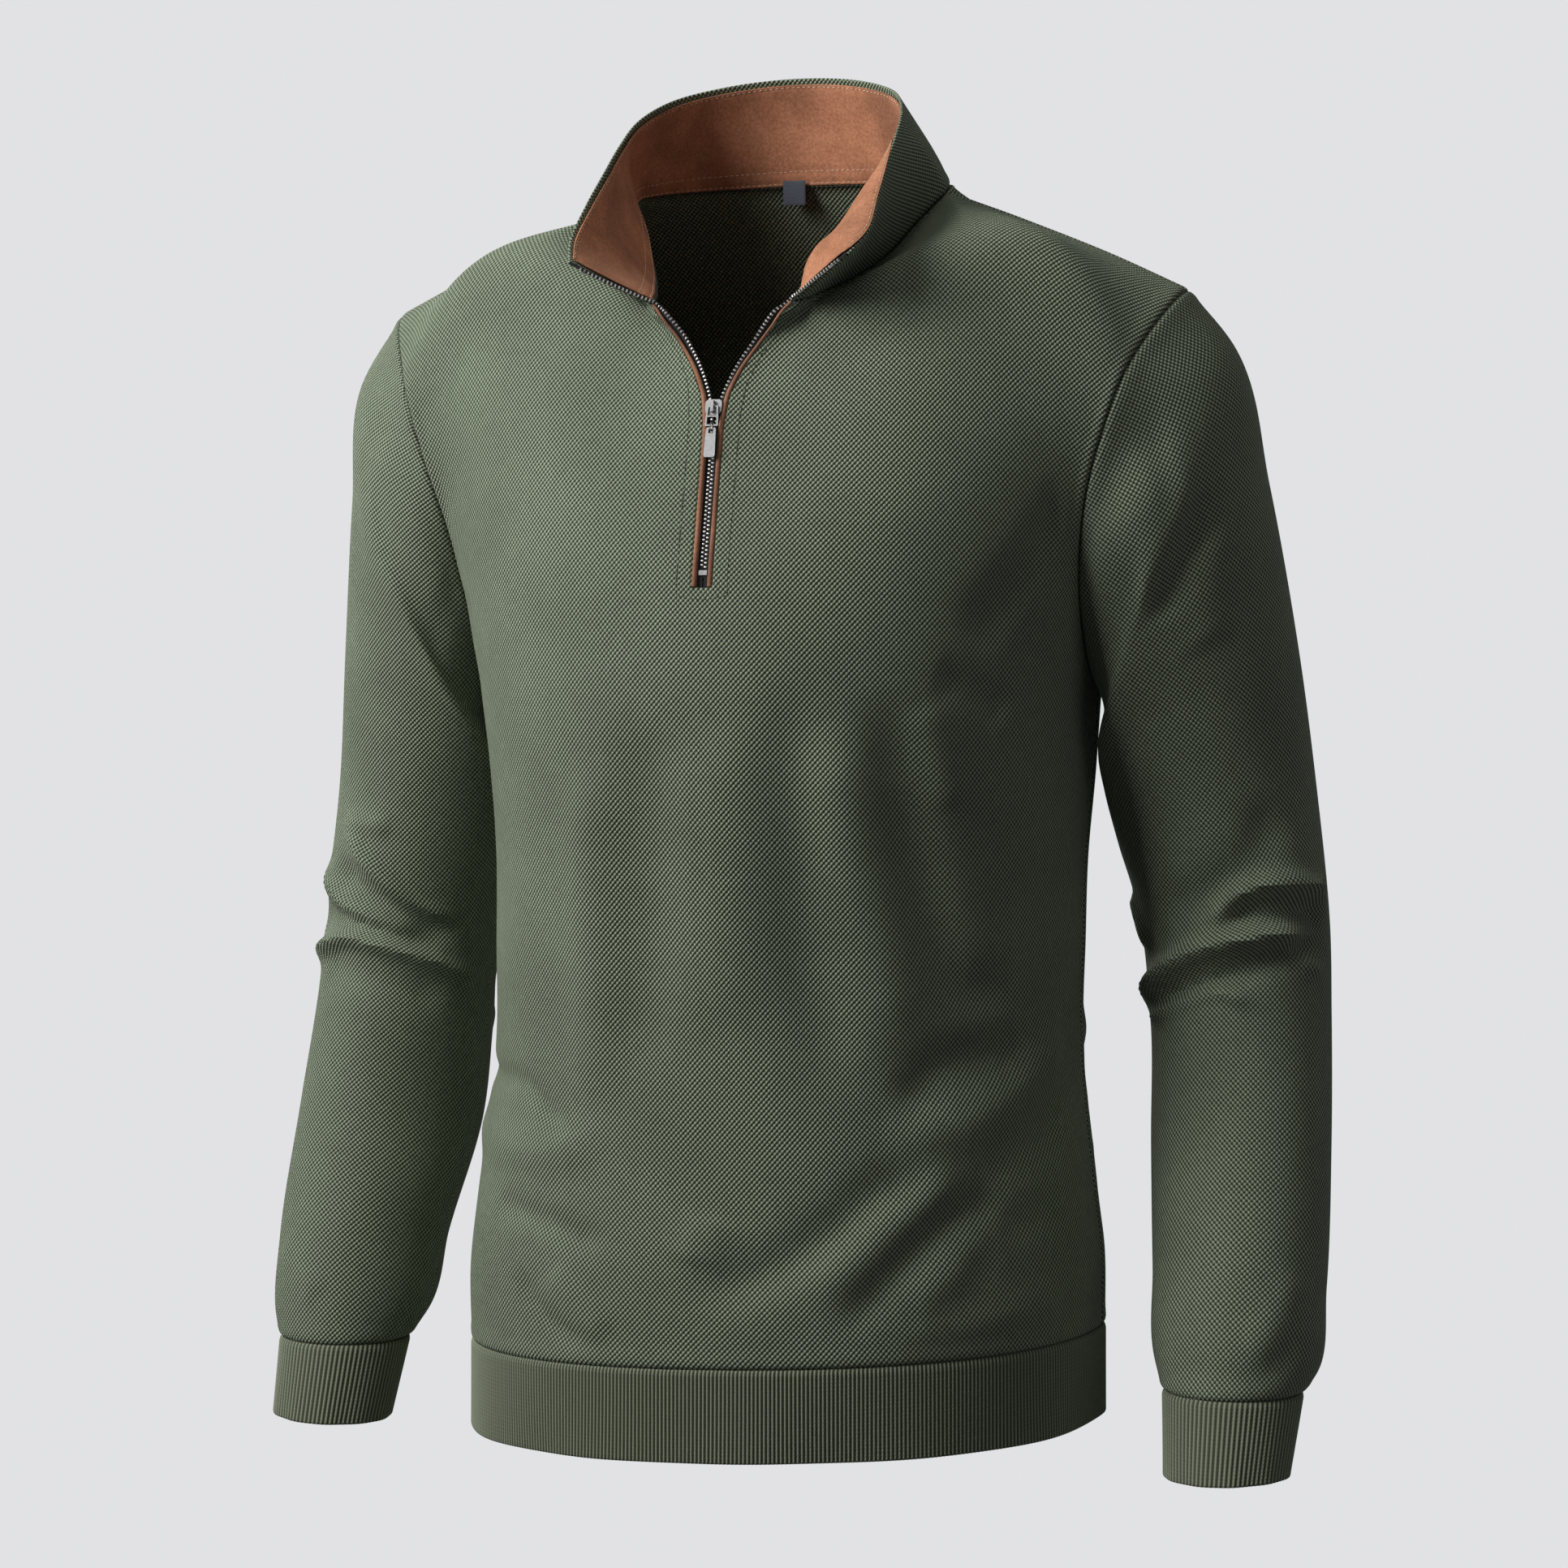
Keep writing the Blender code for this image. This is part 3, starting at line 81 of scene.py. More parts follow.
def slopes(knots: Sequence[float], stations: Sequence[Array]) -> list[Array]:
    """Return the tangents of a smooth curve through stations at uneven knots.

    Args:
        knots: Place of each station.
        stations: Points, or grids of points, one for each knot.

    Returns:
        One tangent for each station.
    """
    steps = np.diff(knots)
    runs = [(b - a) / step for a, b, step in zip(stations[:-1], stations[1:], steps)]
    inner = [(left * after + right * before) / (before + after)
             for left, right, before, after in zip(runs[:-1], runs[1:], steps[:-1], steps[1:])]
    return [runs[0]] + inner + [runs[-1]]


def along(knots: Sequence[float], stations: Sequence[Array], tangents: Sequence[Array],
          places: Array) -> Array:
    """Evaluate a chain of cubic pieces, clamped to its ends.

    Args:
        knots: Place of each station.
        stations: Points at the knots.
        tangents: Tangents at the knots.
        places: Where to evaluate.

    Returns:
        The points at the places.
    """
    places = np.asarray(places, dtype=float)
    result = None
    for k in range(len(knots) - 1):
        step = knots[k + 1] - knots[k]
        share = np.clip((places - knots[k]) / step, 0.0, 1.0)[..., None]
        near = (share * share * (2.0 * share - 3.0) + 1.0) * stations[k]
        near = near + share * (share - 1.0) ** 2 * step * tangents[k]
        far = share * share * (3.0 - 2.0 * share) * stations[k + 1]
        far = far + share * share * (share - 1.0) * step * tangents[k + 1]
        piece = near + far
        result = piece if result is None else np.where((places >= knots[k])[..., None], piece, result)
    return result


def curve(table: Table, shares: Array) -> Array:
    """Return points at shares of the length of a smooth curve through the table's points."""
    points = np.array(table, dtype=float)
    knots = np.concatenate([[0.0], np.cumsum(np.linalg.norm(np.diff(points, axis=0), axis=1))])
    return along(knots, points, slopes(knots, points), np.asarray(shares, dtype=float) * knots[-1])


def column(table: Table, index: int) -> Array:
    """Return one column of a table."""
    return np.array([row[index] for row in table], dtype=float)


def walked(points: Array, axis: int = 0) -> Array:
    """Return the distance walked along one axis of a grid of points, starting at zero."""
    steps = np.linalg.norm(np.diff(points, axis=axis), axis=-1)
    start = np.zeros_like(np.take(steps, [0], axis=axis))
    return np.concatenate([start, np.cumsum(steps, axis=axis)], axis=axis)


def sampled(points: Array, walk: Array, places: Array | float) -> Array:
    """Return points interpolated at places along the walk through a row of points."""
    return np.stack([np.interp(places, walk, points[:, axis]) for axis in range(3)], axis=-1)


def placed(spot: Array, axes: Iterable[Array]) -> Matrix:
    """Return the matrix that carries a shape of size one to a spot, with the given axes."""
    matrix = Matrix.Identity(4)
    for index, way in enumerate((*axes, spot)):
        matrix.col[index].xyz = Vector(way)
    return matrix


def nearest(points: Array, places: Array) -> tuple[Array, Array]:
    """Return how far each point is from the nearest of the places, and which place that is."""
    tree = KDTree(len(places))
    for index, place in enumerate(places):
        tree.insert(place, index)
    tree.balance()
    found = [tree.find(point) for point in points]
    return np.array([item[2] for item in found]), np.array([item[1] for item in found])


# ------------------------------------------------------------------ folds
@dataclass(frozen=True)
class Crease:
    """A soft ridge, or a trough where the height is below zero, along a line on the cloth.

    Each point is a turn in degrees and a distance in metres: height on the body, and distance from
    the armhole on a sleeve. Both ends fade over a share of the line, from a blunt tip.
    """

    width: float
    height: float
    points: Table
    fade: float = 0.22
    tip: float = 0.12
    points_a_knot: int = 4

    def relief(self, across: Array, down: Array, per_degree: float) -> Array:
        """Return the crease's height at points of the cloth.

        Args:
            across: Turns in degrees.
            down: Distances in metres.
            per_degree: Metres of cloth for each degree of turn.

        Returns:
            Heights along the cloth's normal.
        """
        line = curve(tuple((turn * per_degree, place, 0.0) for turn, place in self.points),
                     np.linspace(0.0, 1.0, self.points_a_knot * len(self.points)))[:, :2]
        total = np.sum(np.linalg.norm(np.diff(line, axis=0), axis=1))
        middle = 0.5 * (line[0, 0] + line[-1, 0])
        around = 360.0 * per_degree
        place = (across * per_degree - middle + around / 2.0) % around - around / 2.0 + middle
        best = np.full(np.shape(place), np.inf)
        spot = np.zeros(np.shape(place))
        done = 0.0
        for start, end in zip(line[:-1], line[1:]):
            run = end - start
            length = max(float(np.hypot(*run)), 1e-9)
            share = (place - start[0]) * run[0] + (down - start[1]) * run[1]
            share = np.clip(share / length ** 2, 0.0, 1.0)
            gap = np.hypot(place - start[0] - share * run[0], down - start[1] - share * run[1])
            nearer = gap < best
            best = np.where(nearer, gap, best)
            spot = np.where(nearer, (done + share * length) / total, spot)
            done += length
        fade = ease(spot / self.fade + self.tip) * ease((1.0 - spot) / self.fade + self.tip)
        return self.height * np.exp(-(best / self.width) ** 2) * fade


def relief(creases: Iterable[Crease], across: Array, down: Array, per_degree: float) -> Array:
    """Return the sum of the creases' heights."""
    return sum((crease.relief(across, down, per_degree) for crease in creases),
               np.zeros(np.broadcast(across, down).shape))


@dataclass(frozen=True)
class SeamRoll:
    """The groove where cloths are sewn together, with painted shade in it, and the swell of the cloth beside
    it.
    """

    width: float = 0.0011
    depth: float = 0.0014
    swell: float = 0.0005
    swell_place: float = 0.0048
    swell_width: float = 0.0028

    def shade(self, distance: Array) -> Array:
        """Return how much painted shade darkens the cloth, from 1 in the groove to 0."""
        return np.exp(-(distance / self.width) ** 2)

    def height(self, distance: Array) -> Array:
        """Return how the cloth rolls in at a seam and swells just beside it."""
        beside = np.exp(-((distance - self.swell_place) / self.swell_width) ** 2)
        return self.swell * beside - self.depth * self.shade(distance)


SEAM = SeamRoll()
TORSO_CREASES = (
    Crease(0.0170, -0.0037, ((13, -0.275), (15.8, -0.349), (16.2, -0.406), (18.9, -0.457), (24, -0.510))),
    Crease(0.0180, 0.0037, ((22, -0.300), (26.1, -0.372), (31.9, -0.436), (35.1, -0.485))),
    Crease(0.0150, -0.0047, ((29, -0.285), (34.2, -0.329), (38.3, -0.376), (41.4, -0.414), (46.8, -0.442),
                            (64.4, -0.457))),
    Crease(0.011, 0.0018, ((37.8, -0.292), (46, -0.350))),
    Crease(0.010, -0.0030, ((40.1, -0.277), (46.8, -0.283), (57, -0.300))),
    Crease(0.014, -0.0036, ((46, -0.262), (61.2, -0.230), (82, -0.180))),
    Crease(0.0180, 0.0038, ((-20.7, -0.320), (-22.5, -0.439), (-20.7, -0.515))),
    Crease(0.0200, -0.0035, ((-7.2, -0.295), (-8.1, -0.393), (-11, -0.495))),
    Crease(0.0210, 0.0029, ((2.2, -0.300), (2.2, -0.393), (3.1, -0.470))),
    Crease(0.0125, -0.0043, ((34, -0.516), (41.0, -0.4926), (50.4, -0.4849), (66, -0.483))),
    Crease(0.0150, 0.0040, ((29, -0.527), (45.9, -0.5241), (61.2, -0.509), (80, -0.476))),
    Crease(0.0125, -0.0030, ((48, -0.545), (59.9, -0.5393), (77, -0.527))),
    Crease(0.0125, -0.0036, ((-3, -0.611), (9.9, -0.5957), (19.4, -0.5782), (28.3, -0.5564), (40, -0.551))),
    Crease(0.0137, 0.0035, ((15, -0.611), (27.9, -0.5816), (40.1, -0.5569), (48, -0.547))),
    Crease(0.0094, -0.0035, ((21, -0.631), (29.2, -0.6035), (37.4, -0.5819), (45.9, -0.5661), (57, -0.563))),
    Crease(0.0112, 0.0026, ((33, -0.620), (47.3, -0.5927), (58, -0.579))),
    Crease(0.0100, -0.0021, ((44, -0.607), (53.5, -0.5849), (73, -0.571))),
    Crease(0.0125, 0.0020, ((29, -0.637), (46.8, -0.6314), (72, -0.621))),
    Crease(0.0063, -0.0033, ((-80, -0.497), (-60, -0.499), (-41, -0.502), (-26, -0.526))),
    Crease(0.0126, 0.0033, ((-78, -0.527), (-31.0, -0.5336), (-17, -0.5264))),
    Crease(0.0069, -0.0029, ((-50, -0.564), (-29.7, -0.573), (-16, -0.585))),
    Crease(0.0055, -0.0024, ((-39, -0.601), (-28.3, -0.6269), (-19, -0.641))),
    Crease(0.0103, 0.0021, ((-29, -0.598), (-16, -0.633))),
    Crease(0.0108, 0.0022, ((-2.5, -0.592), (2.0, -0.566))),
    # hidden sides and back
    Crease(0.012, 0.0040, ((98, -0.470), (118, -0.495), (150, -0.512))),
    Crease(0.011, -0.0048, ((92, -0.500), (122, -0.528), (160, -0.546))),
    Crease(0.011, 0.0038, ((100, -0.545), (130, -0.566), (172, -0.580))),
    Crease(0.010, -0.0034, ((96, -0.580), (128, -0.598), (150, -0.606))),
    Crease(0.012, 0.0036, ((-98, -0.480), (-124, -0.508), (-158, -0.524))),
    Crease(0.011, -0.0042, ((-94, -0.512), (-126, -0.540), (-168, -0.556))),
    Crease(0.011, 0.0030, ((-102, -0.560), (-130, -0.580), (-165, -0.590))),
    Crease(0.026, -0.0044, ((178, -0.170), (181, -0.300), (179, -0.430))),
    Crease(0.018, 0.0028, ((160, -0.230), (164, -0.360), (158, -0.450))),
    Crease(0.018, 0.0026, ((-161, -0.240), (-163, -0.350), (-159, -0.440))),
    Crease(0.013, -0.0034, ((128, -0.210), (140, -0.260), (160, -0.290))),
    Crease(0.013, -0.0030, ((-128, -0.215), (-142, -0.270), (-158, -0.300))),
)
LEFT_SLEEVE_CREASES = (
    Crease(0.0135, 0.0022, ((104, 0.006), (76, 0.014), (62, 0.028))),
    Crease(0.0135, -0.0038, ((126, 0.010), (96, 0.019), (72, 0.030))),
    Crease(0.0135, -0.0019, ((108, 0.042), (82, 0.0466), (64, 0.048))),
    Crease(0.011, 0.0028, ((94, 0.088), (68, 0.0725), (58, 0.060))),
    Crease(0.012, -0.0018, ((70, 0.125), (54, 0.080))),
    Crease(0.0114, 0.0046, ((128, 0.2525), (86, 0.2383), (60, 0.2227), (46, 0.198))),
    Crease(0.0046, -0.0071, ((98, 0.259), (72, 0.2409), (42, 0.237), (2, 0.243))),
    Crease(0.0076, 0.0065, ((90, 0.2512), (54, 0.2499), (6, 0.2530))),
    Crease(0.0062, -0.0088, ((172, 0.300), (136, 0.2836), (106, 0.2719), (66, 0.2642), (26, 0.2640))),
    Crease(0.0076, 0.0065, ((150, 0.3004), (92, 0.2888), (52, 0.2758), (8, 0.2660))),
    Crease(0.0043, -0.0048, ((160, 0.3082), (116, 0.2991), (92, 0.2952), (70, 0.306))),
    Crease(0.0047, -0.0026, ((52, 0.272), (16, 0.287))),
    Crease(0.0057, -0.0041, ((174, 0.236), (148, 0.270))),
    Crease(0.010, -0.0020, ((72, 0.4947), (56, 0.474), (36, 0.446))),
    Crease(0.009, 0.0014, ((126, 0.503), (64, 0.5037), (34, 0.480))),
    # back of the sleeve
    Crease(0.009, -0.0042, ((196, 0.290), (236, 0.262), (290, 0.250))),
    Crease(0.010, 0.0038, ((190, 0.310), (240, 0.280), (300, 0.268))),
    Crease(0.008, -0.0034, ((200, 0.330), (250, 0.300), (310, 0.292))),
    Crease(0.012, -0.0040, ((214, 0.030), (238, 0.070), (250, 0.120))),
    Crease(0.012, 0.0030, ((236, 0.024), (262, 0.070), (270, 0.120))),
)
RIGHT_SLEEVE_CREASES = (
    Crease(0.0145, -0.0024, ((60, 0.026), (94, 0.016), (128, 0.012))),
    Crease(0.0174, -0.0020, ((52, 0.074), (90, 0.066), (120, 0.060), (132, 0.095))),
    Crease(0.0159, 0.0017, ((72, 0.0414), (110, 0.0330), (136, 0.032))),
    Crease(0.0047, -0.0025, ((50, 0.2163), (92, 0.2137))),
    Crease(0.0049, -0.0065, ((54, 0.217), (82, 0.237), (110, 0.2551), (146, 0.266))),
    Crease(0.0081, 0.0060, ((42, 0.237), (78, 0.2512), (114, 0.2629), (146, 0.274))),
    Crease(0.0044, -0.0042, ((16, 0.235), (40, 0.2499), (74, 0.2629), (124, 0.2745))),
    Crease(0.0076, 0.0052, ((12, 0.2629), (88, 0.2706), (136, 0.279))),
    Crease(0.0053, -0.0068, ((14, 0.296), (68, 0.2784), (100, 0.2823), (136, 0.2901), (172, 0.3005))),
    Crease(0.0114, 0.0030, ((40, 0.2980), (90, 0.3020), (140, 0.312))),
    Crease(0.010, -0.0014, ((42, 0.4597), (88, 0.4908))),
    # back of the sleeve
    Crease(0.009, -0.0044, ((190, 0.285), (232, 0.262), (296, 0.252))),
    Crease(0.010, 0.0036, ((196, 0.305), (246, 0.280), (300, 0.272))),
    Crease(0.008, -0.0030, ((204, 0.325), (246, 0.302), (304, 0.296))),
    Crease(0.012, -0.0038, ((212, 0.034), (236, 0.074), (248, 0.124))),
    Crease(0.012, 0.0030, ((234, 0.028), (258, 0.074), (268, 0.124))),
)


# ------------------------------------------------------------------ shader building
class Graph:
    """One material's shader nodes, built from small expressions."""

    def __init__(self, name: str) -> None:
        """Start a material whose Principled shader is ready to be fed."""
        self.material = bpy.data.materials.new(name)
        self.material.use_nodes = True
        self.nodes = self.material.node_tree.nodes
        self.links = self.material.node_tree.links
        self.shader = self.nodes["Principled BSDF"]

    def feed(self, socket: bpy.types.NodeSocket, value: object) -> None:
        """Link a socket to another's output, or set its own number or colour."""
        if isinstance(value, bpy.types.NodeSocket):
            self.links.new(value, socket)
        else:
            socket.default_value = value

    def math(self, operation: str, *values: object) -> bpy.types.NodeSocket:
        """Return the result of a Math node fed with the values."""
        node = self.nodes.new("ShaderNodeMath")
        node.operation = operation
        for socket, value in zip(node.inputs, values):
            self.feed(socket, value)
        return node.outputs[0]

    def add(self, *values: object) -> bpy.types.NodeSocket:
        """Return the sum of the values."""
        total = values[0]
        for value in values[1:]:
            total = self.math("ADD", total, value)
        return total

    def times(self, first: object, second: object) -> bpy.types.NodeSocket:
        """Return a product."""
        return self.math("MULTIPLY", first, second)

    def wave(self, turns: object) -> bpy.types.NodeSocket:
        """Return the cosine of a number of whole turns."""
        return self.math("COSINE", self.times(turns, 2.0 * math.pi))

    def ramp(self, value: object, low: float, high: float, start: float = 0.0,
             end: float = 1.0) -> bpy.types.NodeSocket:
        """Return the value mapped smoothly from one range to another and held at its ends."""
        node = self.nodes.new("ShaderNodeMapRange")
        node.interpolation_type = "SMOOTHSTEP"
        for socket, item in zip(node.inputs, (value, low, high, start, end)):
            self.feed(socket, item)
        return node.outputs[0]

    def mix(self, share: object, low: object, high: object) -> bpy.types.NodeSocket:
        """Return a colour between two colours."""
        node = self.nodes.new("ShaderNodeMix")
        node.data_type = "RGBA"
        self.feed(node.inputs[0], share)
        self.feed(node.inputs[6], low)
        self.feed(node.inputs[7], high)
        return node.outputs[2]

    def flat(self) -> tuple[bpy.types.NodeSocket, bpy.types.NodeSocket, bpy.types.NodeSocket]:
        """Return the cut's flat place in metres: the whole vector, across and up."""
        place = self.nodes.new("ShaderNodeTexCoord").outputs["UV"]
        parts = self.nodes.new("ShaderNodeSeparateXYZ")
        self.links.new(place, parts.inputs[0])
        return place, parts.outputs[0], parts.outputs[1]

    def attribute(self, name: str) -> bpy.types.NodeSocket:
        """Return a number kept on the mesh, or 0 where the mesh has none."""
        node = self.nodes.new("ShaderNodeAttribute")
        node.attribute_name = name
        return node.outputs["Fac"]

    def scaled(self, colour: object, factor: object) -> bpy.types.NodeSocket:
        """Return a colour made lighter or darker by a factor."""
        node = self.nodes.new("ShaderNodeVectorMath")
        node.operation = "SCALE"
        self.feed(node.inputs[0], colour)
        self.feed(node.inputs["Scale"], factor)
        return node.outputs[0]

    def solid(self) -> bpy.types.NodeSocket:
        """Return the place in the object's own space."""
        return self.nodes.new("ShaderNodeTexCoord").outputs["Object"]

    def noise(self, place: object, scale: float, detail: float = 3.0,
              stretch: tuple[float, float, float] = (1.0, 1.0, 1.0)) -> bpy.types.NodeSocket:
        """Return smooth noise from 0 to 1."""
        turn = self.nodes.new("ShaderNodeMapping")
        self.feed(turn.inputs["Vector"], place)
        turn.inputs["Scale"].default_value = stretch
        node = self.nodes.new("ShaderNodeTexNoise")
        self.links.new(turn.outputs[0], node.inputs["Vector"])
        node.inputs["Scale"].default_value = scale
        node.inputs["Detail"].default_value = detail
        return node.outputs[0]

    def swing(self, place: object, scale: float) -> bpy.types.NodeSocket:
        """Return smooth noise to both sides of 0."""
        return self.add(self.noise(place, scale, 2.0), -0.5)

    def bump(self, height: object, depth: float) -> None:
        """Raise the surface by the height times the depth in metres."""
        node = self.nodes.new("ShaderNodeBump")
        node.inputs["Distance"].default_value = depth
        self.feed(node.inputs["Height"], height)
        self.links.new(node.outputs[0], self.shader.inputs["Normal"])

    def finish(self, **values: object) -> bpy.types.Material:
        """Feed the shader's named inputs, with underscores for spaces, and return the material."""
        for name, value in values.items():
            self.feed(self.shader.inputs[name.replace("_", " ")], value)
        return self.material


def rgba(colour: Sequence[float], strength: float = 1.0) -> tuple[float, float, float, float]:
    """Return a colour with an alpha of one, made darker or lighter by the strength."""
    return (colour[0] * strength, colour[1] * strength, colour[2] * strength, 1.0)


YARN = {"Roughness": 1.0, "Specular_IOR_Level": 0.06, "Sheen_Weight": 0.08, "Sheen_Roughness": 0.6,
        "Sheen_Tint": rgba((0.80, 0.85, 0.66))}


@dataclass(frozen=True)
class KnitFinish:
    """Sage green two-faced knit: small slanting bumps in staggered rows, with painted shade in the gaps
    between them and in the seams.
    """

    name: str = "sage knit"
    bump_colour: tuple[float, float, float] = (0.390, 0.462, 0.330)
    # the gap colour is partly the yarn's own tone and partly painted shade in the hollows between the bumps
    gap_colour: tuple[float, float, float] = (0.040, 0.048, 0.032)
    wale: float = 0.00278
    course: float = 0.00303
    sway: float = 0.45
    rising: float = 0.58
    falling: float = 0.42
    fibre: float = 0.05
    loose: float = 0.20
    depth: float = 0.00040
    seam_shade: float = 0.38

    def build(self) -> bpy.types.Material:
        """Return the material."""
        graph = Graph(self.name)
        place, across, up = graph.flat()
        sway = graph.times(graph.swing(place, 28.0), self.sway)
        column_turn = graph.add(graph.times(across, 1.0 / self.wale), sway)
        row_turn = graph.add(graph.times(up, 1.0 / self.course), sway)
        rising = graph.wave(graph.math("SUBTRACT", column_turn, row_turn))
        falling = graph.wave(graph.add(column_turn, row_turn))
        chain = graph.add(graph.times(rising, self.rising), graph.times(falling, self.falling))
        fibre = graph.swing(place, 1500.0)
        loose = graph.swing(place, 170.0)
        height = graph.add(chain, graph.times(fibre, self.fibre), graph.times(loose, self.loose))
        share = graph.ramp(height, -0.70, 0.86)
        worn = graph.ramp(graph.noise(place, 14.0, 4.0), 0.30, 0.70, 0.92, 1.08)
        # painted shade: the seam layer darkens the colour in the grooves at the seams
        shade = graph.times(worn, graph.ramp(graph.attribute("seam"), 0.10, 0.95, 1.0, self.seam_shade))
        # painted shade: the colour darkens from the bumps to the gaps, on top of the yarn's own tone
        colour = graph.mix(share, rgba(self.gap_colour), rgba(self.bump_colour))
        graph.bump(height, self.depth)
        return graph.finish(Base_Color=graph.scaled(colour, shade), **YARN)


@dataclass(frozen=True)
class RibFinish:
    """The same yarn knitted as upright ribs; across counts ribs and up is in metres."""

    name: str = "sage rib"
    ridge_colour: tuple[float, float, float] = (0.285, 0.318, 0.228)
    # the groove colour is partly the yarn's own tone and partly painted shade in the grooves between the ribs
    groove_colour: tuple[float, float, float] = (0.074, 0.085, 0.057)
    stitch: float = 0.0021
    slant: float = 0.55
    fibre: float = 0.16
    loose: float = 0.20
    depth: float = 0.00022

    def build(self) -> bpy.types.Material:
        """Return the material."""
        graph = Graph(self.name)
        _, across, up = graph.flat()
        rib = graph.wave(across)
        arch = graph.math("ABSOLUTE", graph.math("SINE", graph.times(across, math.pi)))
        vee = graph.times(arch, self.slant)
        stitch = graph.wave(graph.add(graph.times(up, 1.0 / self.stitch), vee))
        fibre = graph.noise(graph.solid(), 1300.0, 2.0)
        loose = graph.noise(graph.solid(), 190.0, 2.0)
        height = graph.add(graph.times(stitch, 0.30), graph.times(fibre, self.fibre),
                           graph.times(loose, self.loose))
        share = graph.ramp(graph.add(rib, graph.times(height, 0.45)), -0.80, 1.10)
        # painted shade: the colour darkens from the ridges to the grooves, on top of the yarn's own tone
        colour = graph.mix(share, rgba(self.groove_colour), rgba(self.ridge_colour))
        graph.bump(height, self.depth)
        return graph.finish(Base_Color=colour, **YARN)


@dataclass(frozen=True)
class SuedeFinish:
    """Brushed brown suede with a cloudy nap."""

    name: str = "brown suede"
    dark: tuple[float, float, float] = (0.350, 0.141, 0.073)
    light: tuple[float, float, float] = (0.620, 0.283, 0.160)
    depth: float = 0.00016

    def build(self) -> bpy.types.Material:
        """Return the material."""
        graph = Graph(self.name)
        place = graph.solid()
        cloud = graph.noise(place, 75.0, 4.0)
        # painted shade: random darker patches stand in for small wrinkles, together with the suede's own
        # blotchy tone
        shade = graph.ramp(graph.noise(place, 26.0, 3.0), 0.36, 0.62, 0.74, 1.10)
        nap = graph.noise(place, 620.0, 4.0)
        fine = graph.noise(place, 2600.0, 2.0)
        height = graph.add(graph.times(cloud, 0.5), graph.times(nap, 0.9), graph.times(fine, 0.35))
        colour = graph.mix(graph.ramp(height, 0.50, 1.25), rgba(self.dark), rgba(self.light))
        graph.bump(height, self.depth)
        return graph.finish(Base_Color=graph.scaled(colour, shade), Roughness=0.95,
                            Specular_IOR_Level=0.1, Sheen_Weight=0.25,
                            Sheen_Roughness=0.5, Sheen_Tint=rgba((0.95, 0.62, 0.45)))


@dataclass(frozen=True)
class WovenFinish:
    """Narrow woven cloth: the zip's tape and the neck label."""

    name: str
    colour: tuple[float, float, float]
    thread: float = 0.00055
    contrast: float = 0.45
    sheen: float = 0.08
    depth: float = 0.00012

    def build(self) -> bpy.types.Material:
        """Return the material."""
        graph = Graph(self.name)
        place, across, up = graph.flat()
        warp = graph.wave(graph.times(graph.add(across, up), 0.5 / self.thread))
        weft = graph.wave(graph.times(up, 1.0 / self.thread))
        height = graph.add(graph.times(warp, 0.4), graph.times(weft, 0.35),
                           graph.times(graph.noise(place, 900.0, 2.0), 0.5))
        colour = graph.mix(graph.ramp(height, -0.5, 0.9), rgba(self.colour, 1.0 - self.contrast),
                           rgba(self.colour, 1.0 + self.contrast))
        graph.bump(height, self.depth)
        return graph.finish(Base_Color=colour, Roughness=0.8, Specular_IOR_Level=0.3,
                            Sheen_Weight=self.sheen)


@dataclass(frozen=True)
class MetalFinish:
    """Silver metal with fine brushed lines and soft handling marks."""

    name: str = "silver metal"
    dark: tuple[float, float, float] = (0.16, 0.16, 0.16)
    light: tuple[float, float, float] = (0.25, 0.25, 0.246)
    low: float = 0.36
    high: float = 0.46
    stretch: tuple[float, float, float] = (1.0, 1.0, 0.12)
    depth: float = 0.000006

    def build(self) -> bpy.types.Material:
        """Return the material."""
        graph = Graph(self.name)
        place = graph.solid()
        brushed = graph.noise(place, 5200.0, 2.0, self.stretch)
        marks = graph.noise(place, 480.0, 3.0)
        both = graph.add(graph.times(brushed, 0.6), graph.times(marks, 0.4))
        colour = graph.mix(graph.ramp(both, 0.3, 0.7), rgba(self.dark), rgba(self.light))
        graph.bump(both, self.depth)
        return graph.finish(Base_Color=colour, Metallic=1.0,
                            Roughness=graph.ramp(marks, 0.25, 0.75, self.low, self.high))


@dataclass(frozen=True)
class ThreadFinish:
    """Sewing thread with a fine twist."""

    name: str
    colour: tuple[float, float, float]
    depth: float = 0.00008

    def build(self) -> bpy.types.Material:
        """Return the material."""
        graph = Graph(self.name)
        twist = graph.noise(graph.solid(), 3000.0, 2.0)
        colour = graph.mix(graph.ramp(twist, 0.3, 0.7), rgba(self.colour, 0.78), rgba(self.colour, 1.15))
        graph.bump(twist, self.depth)
        return graph.finish(Base_Color=colour, Roughness=0.7, Specular_IOR_Level=0.3, Sheen_Weight=0.1)


